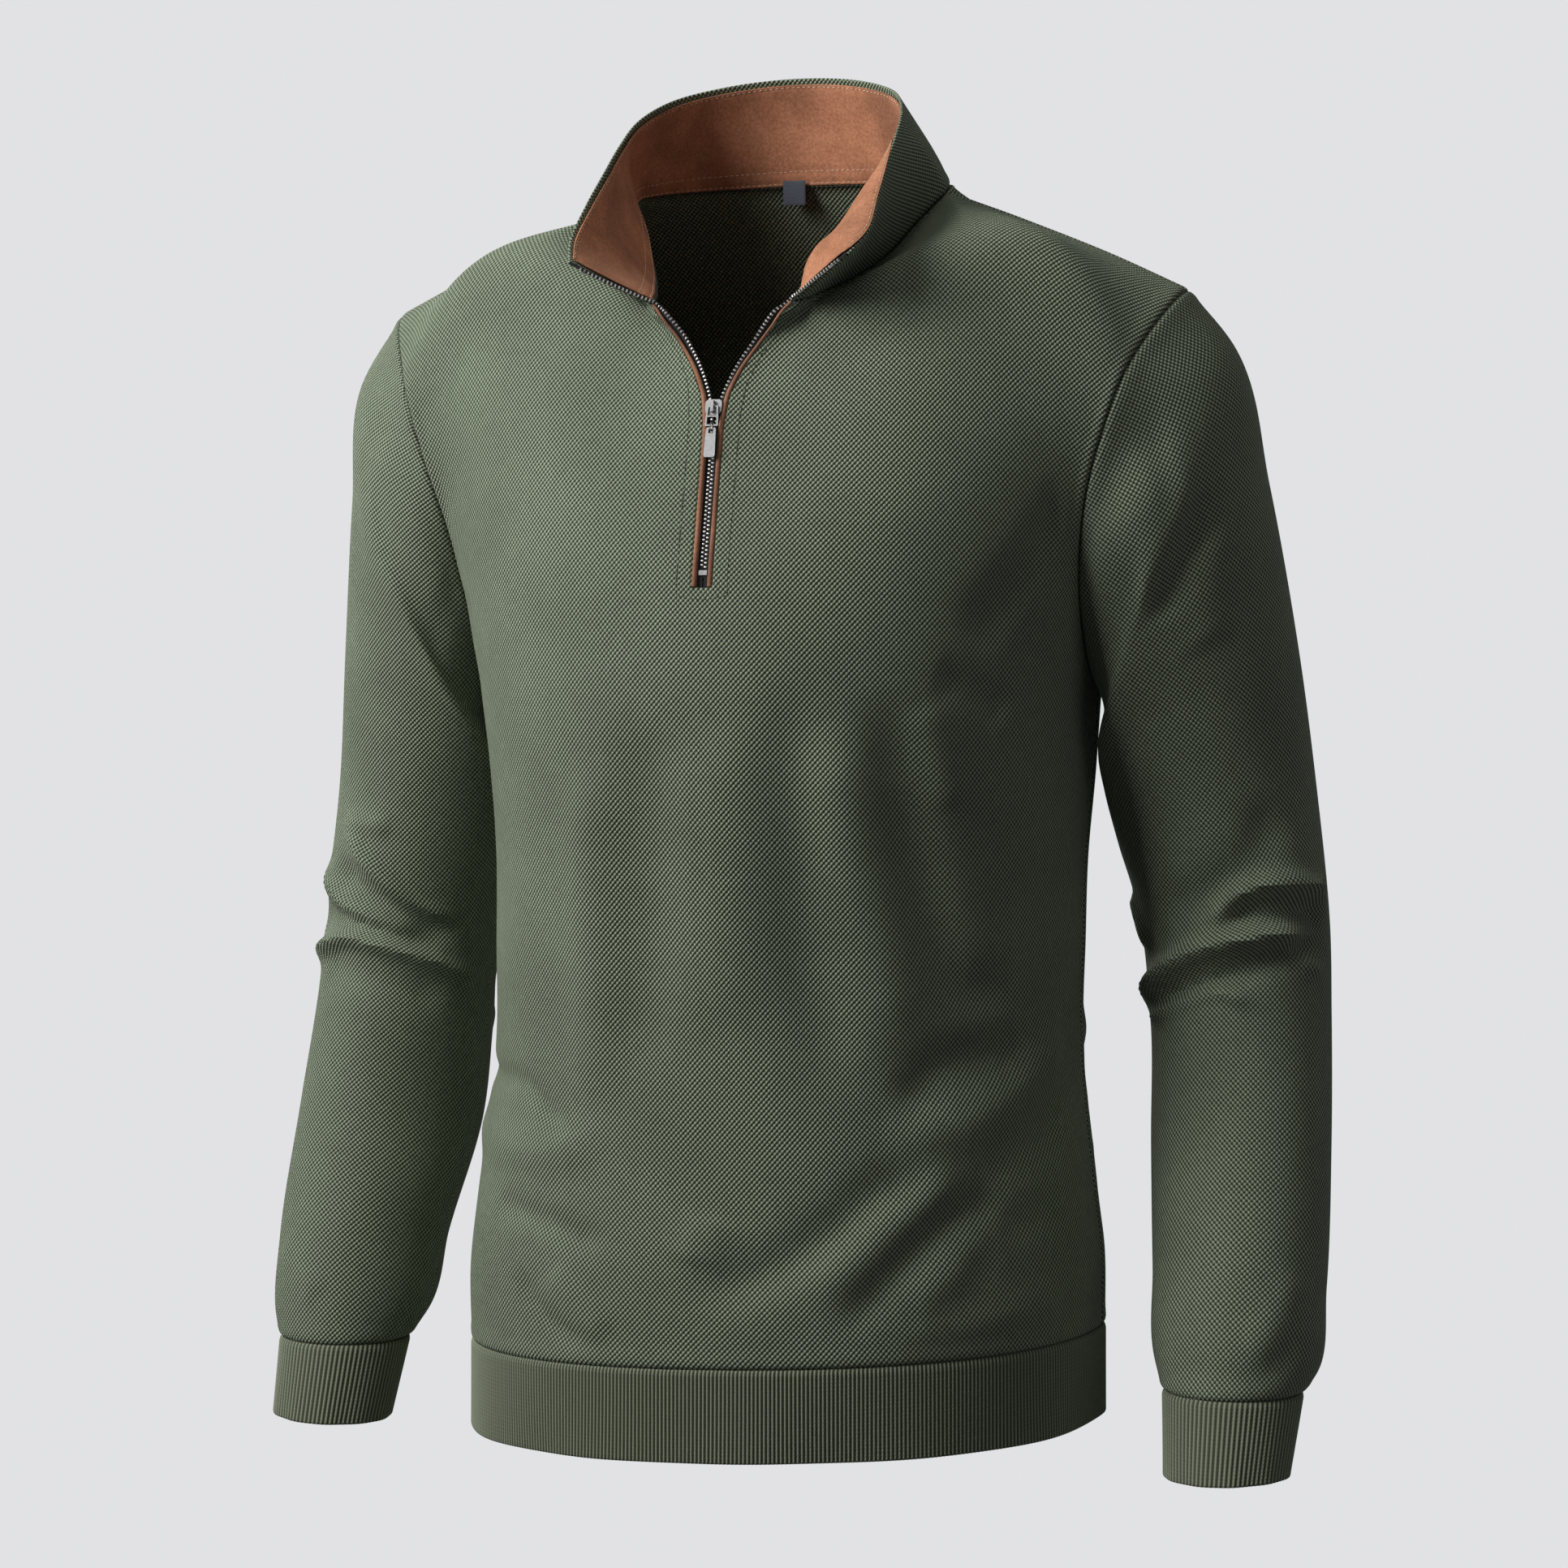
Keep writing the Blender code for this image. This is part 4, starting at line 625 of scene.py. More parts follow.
@dataclass
class Finishes:
    """Every finish of the sweater, built once."""

    knit: bpy.types.Material = field(default_factory=lambda: KnitFinish().build())
    rib: bpy.types.Material = field(default_factory=lambda: RibFinish().build())
    suede: bpy.types.Material = field(default_factory=lambda: SuedeFinish().build())
    piping: bpy.types.Material = field(default_factory=lambda: SuedeFinish(
        "piping suede", (0.250, 0.112, 0.066), (0.420, 0.205, 0.128)).build())
    tape: bpy.types.Material = field(
        default_factory=lambda: WovenFinish("black tape", (0.0125, 0.0125, 0.0135)).build())
    label: bpy.types.Material = field(
        default_factory=lambda: WovenFinish("slate label", (0.085, 0.097, 0.128), 0.0006).build())
    metal: bpy.types.Material = field(default_factory=lambda: MetalFinish().build())
    teeth: bpy.types.Material = field(
        default_factory=lambda: MetalFinish("tooth metal", (0.30, 0.29, 0.275), (0.46, 0.45, 0.43)).build())
    green_thread: bpy.types.Material = field(
        default_factory=lambda: ThreadFinish("green thread", (0.085, 0.110, 0.072)).build())
    tan_thread: bpy.types.Material = field(
        default_factory=lambda: ThreadFinish("tan thread", (0.80, 0.58, 0.42)).build())


# ------------------------------------------------------------------ cloth
def seam_places(start: float, end: float, step: float, near_start: bool = False,
                near_end: bool = False) -> Array:
    """Return places from start to end about a step apart, with extra ones beside the seams.

    Args:
        start: First place.
        end: Last place.
        step: Widest distance between places.
        near_start: Whether a seam or edge lies at the start.
        near_end: Whether one lies at the end.

    Returns:
        The places in rising order.
    """
    places = list(np.linspace(start, end, max(2, round((end - start) / step)) + 1))
    extra = (0.0006, 0.0012, 0.0019)
    if near_start:
        places += [start + gap for gap in extra]
    if near_end:
        places += [end - gap for gap in extra]
    return np.unique(np.round(places, 6))


def grid_normals(points: Array, closed: bool = False) -> Array:
    """Return the unit normals of a grid of points, on the side its rows turn about its columns.

    Args:
        points: Rows of points.
        closed: Whether the last column lies on the first.

    Returns:
        One normal for each point, along columns crossed with rows.
    """
    up = np.gradient(points, axis=0)
    across = np.gradient(points, axis=1)
    if closed:
        across[:, 0] = across[:, -1] = points[:, 1] - points[:, -2]
    return unit(np.cross(across, up))


def lay(mesh: bmesh.types.BMesh, points: Array) -> bmesh.types.BMLayerItem:
    """Lay a grid on rows of points in an empty mesh, and return the layer with its vertices' places."""
    rows, columns = points.shape[:2]
    mark = mesh.verts.layers.int.new("place")
    bmesh.ops.create_grid(mesh, x_segments=columns - 1, y_segments=rows - 1, size=0.5)
    for index, vert in enumerate(mesh.verts):
        vert[mark] = index
        vert.co = points[index // columns, index % columns]
    return mark


@dataclass
class ClothGrid:
    """A wall of cloth: outer points row by row, its thickness, its flat cut and its rounded edges.

    The edge holds each point's distance from an open edge, and sewn its distance from a seam.
    """

    outer: Array
    normals: Array
    cloth: float
    flat: Array | None = None
    closed: bool = False
    slot: tuple[int, int] | None = None
    edge: Array | None = None
    sewn: Array | None = None
    rounds: int = 6
    roll_start: float = 0.008
    blunt: float = 0.04
    touch: float = 1e-6

    def __post_init__(self) -> None:
        """Lay the cloth flat where its cut isn't given."""
        if self.flat is None:
            self.flat = self.laid_flat()

    def laid(self, outer: Array) -> bmesh.types.BMesh:
        """Return a grid laid on the outer points, its vertices marked with their places."""
        mesh = bmesh.new()
        mesh.loops.layers.uv.new("flat")
        # the seam layer holds painted shade for the grooves at the seams
        mesh.verts.layers.float.new("seam")
        lay(mesh, outer)
        return mesh

    def laid_flat(self) -> Array:
        """Return the flat places of the cut: the cloth unwrapped with the least stretch, upright."""
        mesh = self.laid(self.outer)
        data = bpy.data.meshes.new("cut")
        mesh.to_mesh(data)
        mesh.free()
        piece = bpy.data.objects.new("cut", data)
        bpy.context.scene.collection.objects.link(piece)
        bpy.ops.object.select_all(action="DESELECT")
        piece.select_set(True)
        bpy.context.view_layer.objects.active = piece
        bpy.ops.object.mode_set(mode="EDIT")
        bpy.ops.mesh.select_all(action="SELECT")
        bpy.ops.uv.unwrap(method="MINIMUM_STRETCH", iterations=self.rounds, margin=0.0)
        bpy.ops.object.mode_set(mode="OBJECT")
        marks = np.array([item.value for item in data.attributes["place"].data])
        corners = np.array([loop.vertex_index for loop in data.loops])
        flat = np.zeros((self.outer[..., 0].size, 2))
        flat[marks[corners]] = [corner.vector for corner in data.uv_layers["flat"].uv]
        bpy.data.objects.remove(piece)
        bpy.data.meshes.remove(data)
        flat = flat.reshape(*self.outer.shape[:2], 2)
        rising = np.sign(self.outer[-1, :, 2].mean() - self.outer[0, :, 2].mean())
        lean, rise = (flat[-1].mean(axis=0) - flat[0].mean(axis=0)) * rising
        turn = np.array([[rise, -lean], [lean, rise]]) / np.hypot(lean, rise)
        real, drawn = (np.linalg.norm(np.diff(grid, axis=1), axis=-1).sum() for grid in (self.outer, flat))
        return flat @ turn.T * (real / drawn)

    def border(self) -> tuple[Array, Array]:
        """Return the points on the seams and the normals there."""
        on_seam = self.sewn < self.touch
        return self.outer[on_seam], self.normals[on_seam]

    def sew(self, shared: Array, reach: float, overlap: float) -> None:
        """Roll the cloth in beside its seams, and let it pass them a little.

        Args:
            shared: The normals that its border points share with the cloths sewn to it.
            reach: How far from a seam the shared normals fade out.
            overlap: How far the cloth passes its seams.
        """
        points, _ = self.border()
        close = self.sewn < reach
        _, near = nearest(self.outer[close], points)
        share = 1.0 - ease(self.sewn[close] / reach)[:, None]
        self.normals[close] = unit(self.normals[close] * (1.0 - share) + shared[near] * share)
        for rim, inside in ((np.s_[0], np.s_[1]), (np.s_[-1], np.s_[-2]),
                            (np.s_[:, 0], np.s_[:, 1]), (np.s_[:, -1], np.s_[:, -2])):
            if np.all(self.sewn[rim] < self.touch):
                self.outer[rim] += unit(self.outer[rim] - self.outer[inside]) * overlap
        beside_edge = 1.0 if self.edge is None else ease(self.edge / self.roll_start)
        self.outer += self.normals * (SEAM.height(self.sewn) * beside_edge)[..., None]

    def walls(self) -> tuple[Array, Array]:
        """Return the outer and inner points, drawn together towards the rounded edges."""
        half = 0.5 * self.cloth
        middle = self.outer - self.normals * half
        if self.edge is None:
            spread = np.full(self.outer.shape[:2], half)
        else:
            inset = 1.0 - np.clip(self.edge / half, 0.0, 1.0)
            spread = half * np.sqrt(np.maximum(1.0 - inset ** 2, self.blunt))
        return middle + self.normals * spread[..., None], middle - self.normals * spread[..., None]

    def build(self, name: str, finish: bpy.types.Material) -> bpy.types.Object:
        """Return the piece: a grid laid on the outer points, then extruded to the inner ones.

        Args:
            name: The piece's name.
            finish: Its material.

        Returns:
            The new object.
        """
        outer, inner = self.walls()
        columns = outer.shape[1]
        mesh = self.laid(outer)
        flat = mesh.loops.layers.uv["flat"]
        seam = mesh.verts.layers.float["seam"]
        mark = mesh.verts.layers.int["place"]
        # painted shade in the grooves at the seams, kept on the mesh's seam layer
        painted_seam_shade = np.zeros(outer.shape[:2]) if self.sewn is None else SEAM.shade(self.sewn)
        for vert in mesh.verts:
            place = divmod(vert[mark], columns)
            vert[seam] = painted_seam_shade[place]
            for loop in vert.link_loops:
                loop[flat].uv = self.flat[place]
        if self.slot:
            bmesh.ops.delete(mesh, geom=self.slot_faces(mesh, mark, columns), context="FACES")
        if self.closed:
            bmesh.ops.remove_doubles(mesh, verts=mesh.verts[:], dist=self.touch)
        extruded = bmesh.ops.extrude_face_region(mesh, geom=mesh.faces[:])
        for vert in (item for item in extruded["geom"] if isinstance(item, bmesh.types.BMVert)):
            vert.co = inner[vert[mark] // columns, vert[mark] % columns]
        return finished(name, mesh, finish)

    def slot_faces(self, mesh: bmesh.types.BMesh, mark: object, columns: int) -> list:
        """Return the faces of the slot's column from its foot up."""
        col, foot = self.slot
        return [face for face in mesh.faces
                if {vert[mark] % columns for vert in face.verts} == {col, col + 1}
                and min(vert[mark] // columns for vert in face.verts) >= foot]

    def cut(self) -> tuple[tuple[float, float], float]:
        """Return the width and length of the cut, laid flat, and its area."""
        size = self.flat.reshape(-1, 2)
        width, length = (size.max(axis=0) - size.min(axis=0)).tolist()
        rising = self.flat[1:, 1:] - self.flat[:-1, :-1]
        falling = self.flat[1:, :-1] - self.flat[:-1, 1:]
        cells = 0.5 * (rising[..., 0] * falling[..., 1] - rising[..., 1] * falling[..., 0])
        if self.slot:
            cells[self.slot[1]:, self.slot[0]] = 0.0
        return (width, length), float(np.abs(cells).sum())


@dataclass
class Seams:
    """Every cloth that is sewn to another, so that both sides of a seam roll in as one and meet."""

    grids: dict[str, ClothGrid] = field(default_factory=dict)
    meet: float = 0.0030
    reach: float = 0.0042
    overlap: float = 0.0002

    def join(self) -> None:
        """Share the normals along every seam, and sew the cloths there."""
        borders = {name: grid.border() for name, grid in self.grids.items()}
        for name, grid in self.grids.items():
            points, normals = borders[name]
            shared = normals.copy()
            for other, (places, ways) in borders.items():
                if other != name:
                    gap, near = nearest(points, places)
                    shared += ways[near] * (gap < self.meet)[:, None]
            grid.sew(unit(shared), self.reach, self.overlap)


def finished(name: str, mesh: bmesh.types.BMesh, finish: bpy.types.Material,
             angle: float = 50.0) -> bpy.types.Object:
    """Close a bmesh into an object with outward faces and one material.

    Args:
        name: The object's name.
        mesh: The mesh, which is freed.
        finish: Its material.
        angle: Edges sharper than this many degrees stay sharp.

    Returns:
        The new object.
    """
    bmesh.ops.recalc_face_normals(mesh, faces=mesh.faces[:])
    if mesh.calc_volume(signed=True) < 0.0:
        bmesh.ops.reverse_faces(mesh, faces=mesh.faces[:])
    data = bpy.data.meshes.new(name)
    mesh.to_mesh(data)
    mesh.free()
    data.materials.append(finish)
    data.shade_smooth()
    data.set_sharp_from_angle(angle=math.radians(angle))
    piece = bpy.data.objects.new(name, data)
    bpy.context.scene.collection.objects.link(piece)
    return piece


def fitted(piece: bpy.types.Object, slot: str, *nodes: str, body: str = ROOT_BODY) -> bpy.types.Object:
    """Ride a piece on its body and let it stand for its nodes."""
    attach(piece, body)
    if nodes:
        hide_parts(*nodes)
    LOG.info("%s: %d faces", piece.name, len(piece.data.polygons))
    return piece


@dataclass(frozen=True)
class Stitching:
    """A row of small sewn stitches along a path on the cloth."""

    length: float = 0.0026
    pitch: float = 0.0036
    radius: float = 0.00030
    raised: float = 0.35
    look: float = 0.001

    def sew(self, mesh: bmesh.types.BMesh, path: Array, normals: Array) -> None:
        """Add the stitches to a mesh.

        Args:
            mesh: The mesh that the stitches are added to.
            path: Points along the seam, on the cloth.
            normals: The cloth's outward normals there.
        """
        walk = walked(path)
        count = max(1, int(walk[-1] / self.pitch))
        for place in (np.arange(count) + 0.5) * walk[-1] / count:
            spot = sampled(path, walk, place)
            ahead = unit(sampled(path, walk, place + self.look) - sampled(path, walk, place - self.look))
            out = unit(sampled(normals, walk, place))
            side = unit(np.cross(out, ahead))
            axes = (ahead * (0.5 * self.length), side * self.radius, out * self.radius)
            bmesh.ops.create_uvsphere(mesh, u_segments=6, v_segments=4, radius=1.0,
                                      matrix=placed(spot + out * self.radius * self.raised, axes))


# ------------------------------------------------------------------ body
@dataclass(frozen=True)
class TorsoForm:
    """The body's surface as worn, from the hem seam to the neck and shoulder seams.

    A share runs from 0 on the centre line to 1 at the side or armhole, and a place runs up the
    panel. Rings hold the height, half width, y of the side line, the front and the back, and how
    square the front and back quarters are. Arcs hold the centre's height and y, the armhole point,
    the quarter's turn there, and how far the arc's middle is lifted and leans back. Folds fade out
    beside the seams, and the hem tilts below a height: each fade holds where it starts and its run.
    """

    rings: Table = (
        (-0.648, 0.1825, 0.027, -0.122, 0.106, 0.90, 0.86),
        (-0.608, 0.1828, 0.025, -0.122, 0.104, 0.90, 0.86),
        (-0.565, 0.1780, 0.025, -0.120, 0.101, 0.90, 0.86),
        (-0.520, 0.1722, 0.030, -0.118, 0.098, 0.90, 0.86),
        (-0.475, 0.1687, 0.034, -0.118, 0.097, 0.90, 0.86),
        (-0.430, 0.1693, 0.037, -0.120, 0.099, 0.90, 0.86),
        (-0.380, 0.1697, 0.042, -0.125, 0.103, 0.90, 0.86),
        (-0.330, 0.1735, 0.045, -0.130, 0.108, 0.90, 0.84),
        (-0.283, 0.1780, 0.038, -0.131, 0.112, 0.90, 0.82),
    )
    front_arcs: Table = (
        (-0.232, -0.1265, 0.1790, -0.010, -0.245, 86.0, 0.022, 0.004),
        (-0.192, -0.1180, 0.1855, -0.035, -0.195, 80.0, 0.044, 0.012),
        (-0.150, -0.1090, 0.1965, -0.045, -0.155, 76.0, 0.062, 0.024),
        (-0.115, -0.1030, 0.2130, -0.036, -0.108, 72.0, 0.074, 0.042),
    )
    back_arcs: Table = (
        (-0.225, 0.1130, 0.1790, 0.062, -0.245, 80.0, 0.022, 0.000),
        (-0.165, 0.1130, 0.1840, 0.084, -0.197, 74.0, 0.034, 0.000),
        (-0.105, 0.1050, 0.1940, 0.086, -0.150, 68.0, 0.041, -0.004),
        (-0.045, 0.0870, 0.2130, 0.066, -0.104, 64.0, 0.038, -0.014),
    )
    front_neck: Table = (
        (0.0000, -0.1005, -0.0800),
        (0.0200, -0.0980, -0.0795),
        (0.0385, -0.0920, -0.0770),
        (0.0500, -0.0650, -0.0690),
        (0.0605, -0.0370, -0.0580),
        (0.0705, -0.0150, -0.0445),
        (0.0810, 0.0040, -0.0260),
        (0.0945, 0.0215, -0.0065),
    )
    back_neck: Table = (
        (0.0000, 0.0630, 0.0055),
        (0.0200, 0.0625, 0.0054),
        (0.0420, 0.0600, 0.0050),
        (0.0660, 0.0550, 0.0045),
        (0.0850, 0.0450, 0.0025),
        (0.0935, 0.0330, -0.0010),
        (0.0945, 0.0215, -0.0065),
    )
    shoulder_seam: Table = (
        (0.0945, 0.0215, -0.0065),
        (0.1400, 0.0180, -0.0245),
        (0.1870, 0.0165, -0.0440),
        (0.2335, 0.0165, -0.0660),
    )
    front_rise: Table = (
        (0.00, 0.00, 0.40, 0.90),
        (0.20, -0.10, 0.60, 0.78),
        (0.36, -0.25, 0.72, 0.64),
        (0.46, -0.25, 0.86, 0.40),
        (0.60, -0.02, 0.97, 0.20),
        (1.00, 0.00, 0.99, 0.10),
    )
    back_rise: Table = (
        (0.00, 0.00, -0.50, 0.86),
        (0.20, -0.05, -0.60, 0.78),
        (0.36, -0.12, -0.85, 0.40),
        (0.46, 0.00, -0.99, -0.05),
        (0.60, 0.02, -0.98, -0.18),
        (1.00, 0.00, -0.99, -0.10),
    )
    slit: Table = (
        (-0.300, 0.0058),
        (-0.144, 0.0058),
        (-0.127, 0.0080),
        (-0.112, 0.0145),
        (-0.096, 0.0250),
        (-0.078, 0.0390),
        (-0.060, 0.0550),
    )
    neck_share: float = 0.46
    arc_knot: float = 0.052
    hem_tilt: float = 0.045
    tilt_fade: tuple[float, float] = (-0.35, 0.25)
    side_fade: tuple[float, float] = (0.80, 0.20)
    armhole_fade: tuple[float, float] = (0.047, 0.04)
    hem_fade: float = 0.022
    top_fade: float = 0.05
    side_blend: tuple[float, float] = (0.70, 0.30)
    outward_blend: tuple[float, float] = (0.85, 0.15)
    underarm_way: tuple[float, float] = (0.45, 0.90)
    least_reach: float = 0.6
    lift_look: tuple[float, float] = (0.01, 0.004)
    normal_look: tuple[float, float] = (0.006, 0.003)
    per_degree: float = 0.26 / 90.0
    creases: tuple[Crease, ...] = TORSO_CREASES

    @property
    def knots(self) -> list[float]:
        """Return how far up a panel each of its stations lies."""
        rings = [ring[0] - self.rings[0][0] for ring in self.rings]
        return rings + [rings[-1] + self.arc_knot * (k + 1) for k in range(len(self.front_arcs) + 1)]

    @property
    def top(self) -> float:
        """Return the place of the neck and shoulder seams."""
        return self.knots[-1]

    @property
    def underarm(self) -> float:
        """Return the place where the armhole starts."""
        return self.knots[len(self.rings) - 1]

    @staticmethod
    def quarter(share: Array, turn: float, square: float, width: float, side: float,
                middle: float) -> tuple[Array, Array]:
        """Return x and y on an arc from the middle to the side, as a squared quarter of an ellipse."""
        angle = np.radians(turn) * share
        end = math.radians(turn)
        x = width * np.sin(angle) ** square / math.sin(end) ** square
        fall = 1.0 - math.cos(end) ** square
        y = side + (middle - side) * (np.maximum(np.cos(angle), 0.0) ** square - (1.0 - fall)) / fall
        return x, y

    def stations(self, share: Array, front: bool) -> list[Array]:
        """Return one panel's points at each of its knots, from the hem to its top edge."""
        middle_column, square_column = (3, 5) if front else (4, 6)
        result = []
        for ring in self.rings:
            x, y = self.quarter(share, 90.0, ring[square_column], ring[1], ring[2], ring[middle_column])
            result.append(np.stack([x, y, np.full_like(x, ring[0])], axis=-1))
        square = self.rings[-1][square_column]
        arcs = self.front_arcs if front else self.back_arcs
        for z_mid, y_mid, x_edge, y_edge, z_edge, turn, lift, lean in arcs:
            x, y = self.quarter(share, turn, square, x_edge, y_edge, y_mid)
            hump = np.sin(math.pi * share)
            z = z_mid + (z_edge - z_mid) * ease(share) + lift * hump
            result.append(np.stack([x, y + lean * hump, z], axis=-1))
        neck = curve(self.front_neck if front else self.back_neck,
                     np.clip(share / self.neck_share, 0.0, 1.0))
        over = np.clip((share - self.neck_share) / (1.0 - self.neck_share), 0.0, 1.0)
        result.append(np.where((share < self.neck_share)[..., None], neck, curve(self.shoulder_seam, over)))
        return result

    def smooth(self, share: Array, place: Array, front: bool) -> Array:
        """Return points of a panel without its folds, on the +X side."""
        share = np.abs(np.asarray(share, dtype=float))
        knots = self.knots
        stations = self.stations(share, front)
        tangents = slopes(knots, stations)
        rise = self.front_rise if front else self.back_rise
        top = np.stack([np.interp(share, column(rise, 0), column(rise, k)) for k in (1, 2, 3)], axis=-1)
        reach = np.linalg.norm(stations[-1] - stations[-2], axis=-1, keepdims=True) / self.arc_knot
        tangents[-1] = unit(top) * np.maximum(reach, self.least_reach)
        corner = len(self.rings) - 1
        near_edge = ease((share - self.side_blend[0]) / self.side_blend[1])[..., None]
        below = (stations[corner] - stations[corner - 1]) / (knots[corner] - knots[corner - 1])
        armhole = (stations[corner + 1] - stations[corner]) / self.arc_knot
        level = np.array([0.0, -1.0 if front else 1.0, 0.0])
        along_it, outwards = self.underarm_way
        above = armhole * along_it + level * outwards * np.linalg.norm(armhole, axis=-1, keepdims=True)
        lower = tangents[:corner] + [tangents[corner] * (1.0 - near_edge) + below * near_edge]
        upper = [tangents[corner] * (1.0 - near_edge) + above * near_edge] + tangents[corner + 1:]
        under = along(knots[:corner + 1], stations[:corner + 1], lower, place)
        over = along(knots[corner:], stations[corner:], upper, place)
        return np.where((np.asarray(place) <= knots[corner])[..., None], under, over)

    def lift(self, size: Array, place: Array, front: bool) -> Array:
        """Return the ways out of the smooth surface, turned to the side near the side seam."""
        aside, above = self.lift_look
        low_s, high_s = np.clip(size - aside, 0.001, 1.0), np.clip(size + aside, 0.001, 1.0)
        low_p, high_p = np.clip(place - above, 0.0, self.top), np.clip(place + above, 0.0, self.top)
        across = self.smooth(high_s, place, front) - self.smooth(low_s, place, front)
        up = self.smooth(size, high_p, front) - self.smooth(size, low_p, front)
        out = unit(np.cross(across, up)) * (1.0 if front else -1.0)
        seamward = ease((size - self.outward_blend[0]) / self.outward_blend[1])[..., None]
        return unit(out * (1.0 - seamward) + np.array([1.0, 0.0, 0.0]) * seamward)

    def surface(self, share: Array, place: Array, front: bool) -> Array:
        """Return points of a panel with its folds; a negative share lies on the -X side."""
        share, place = np.broadcast_arrays(np.asarray(share, float), np.asarray(place, float))
        side = np.where(share < 0.0, -1.0, 1.0)
        size = np.abs(share)
        points = self.smooth(size, place, front)
        turn = size * 90.0 if front else 180.0 - size * 90.0
        height = relief(self.creases, turn * side, points[..., 2], self.per_degree)
        near_side = ease((size - self.side_fade[0]) / self.side_fade[1])
        raised = ease((place - self.underarm + self.armhole_fade[0]) / self.armhole_fade[1])
        beside_armhole = 1.0 - near_side * raised
        beside_ends = ease(place / self.hem_fade) * ease((self.top - place) / self.top_fade)
        lift = self.lift(size, place, front)
        points = points + lift * (height * beside_armhole * beside_ends)[..., None]
        points = points * np.stack([side, np.ones_like(side), np.ones_like(side)], axis=-1)
        tilt = self.hem_tilt * ease((self.tilt_fade[0] - points[..., 2]) / self.tilt_fade[1])
        points[..., 2] += tilt * points[..., 0]
        return points

    def normal(self, share: Array, place: Array, front: bool) -> Array:
        """Return the outward normals of a panel."""
        share, place = np.broadcast_arrays(np.asarray(share, float), np.asarray(place, float))
        low, high = np.where(share < 0.0, -1.0, 1e-4), np.where(share < 0.0, -1e-4, 1.0)
        aside, above = self.normal_look
        low_s, high_s = np.clip(share - aside, low, high), np.clip(share + aside, low, high)
        low_p, high_p = np.clip(place - above, 0.0, self.top), np.clip(place + above, 0.0, self.top)
        across = self.surface(high_s, place, front) - self.surface(low_s, place, front)
        up = self.surface(share, high_p, front) - self.surface(share, low_p, front)
        return unit(np.cross(across, up)) * (1.0 if front else -1.0)

    def slit_share(self, places: Array) -> Array:
        """Return the share where the zip opening's edge lies at each place."""
        tries = np.linspace(0.0, 0.6, 241)
        result = []
        for spot in np.atleast_1d(places):
            points = self.smooth(tries, np.full_like(tries, spot), True)
            wanted = np.interp(points[:, 2], column(self.slit, 0), column(self.slit, 1))
            past = int(np.argmax(points[:, 0] >= wanted))
            before, after = points[past - 1, 0] - wanted[past - 1], points[past, 0] - wanted[past]
            result.append(tries[past - 1] + (tries[past] - tries[past - 1]) * before / (before - after))
        return np.array(result)

    @property
    def slit_foot(self) -> float:
        """Return the place of the zip opening's foot."""
        return self.underarm + self.arc_knot


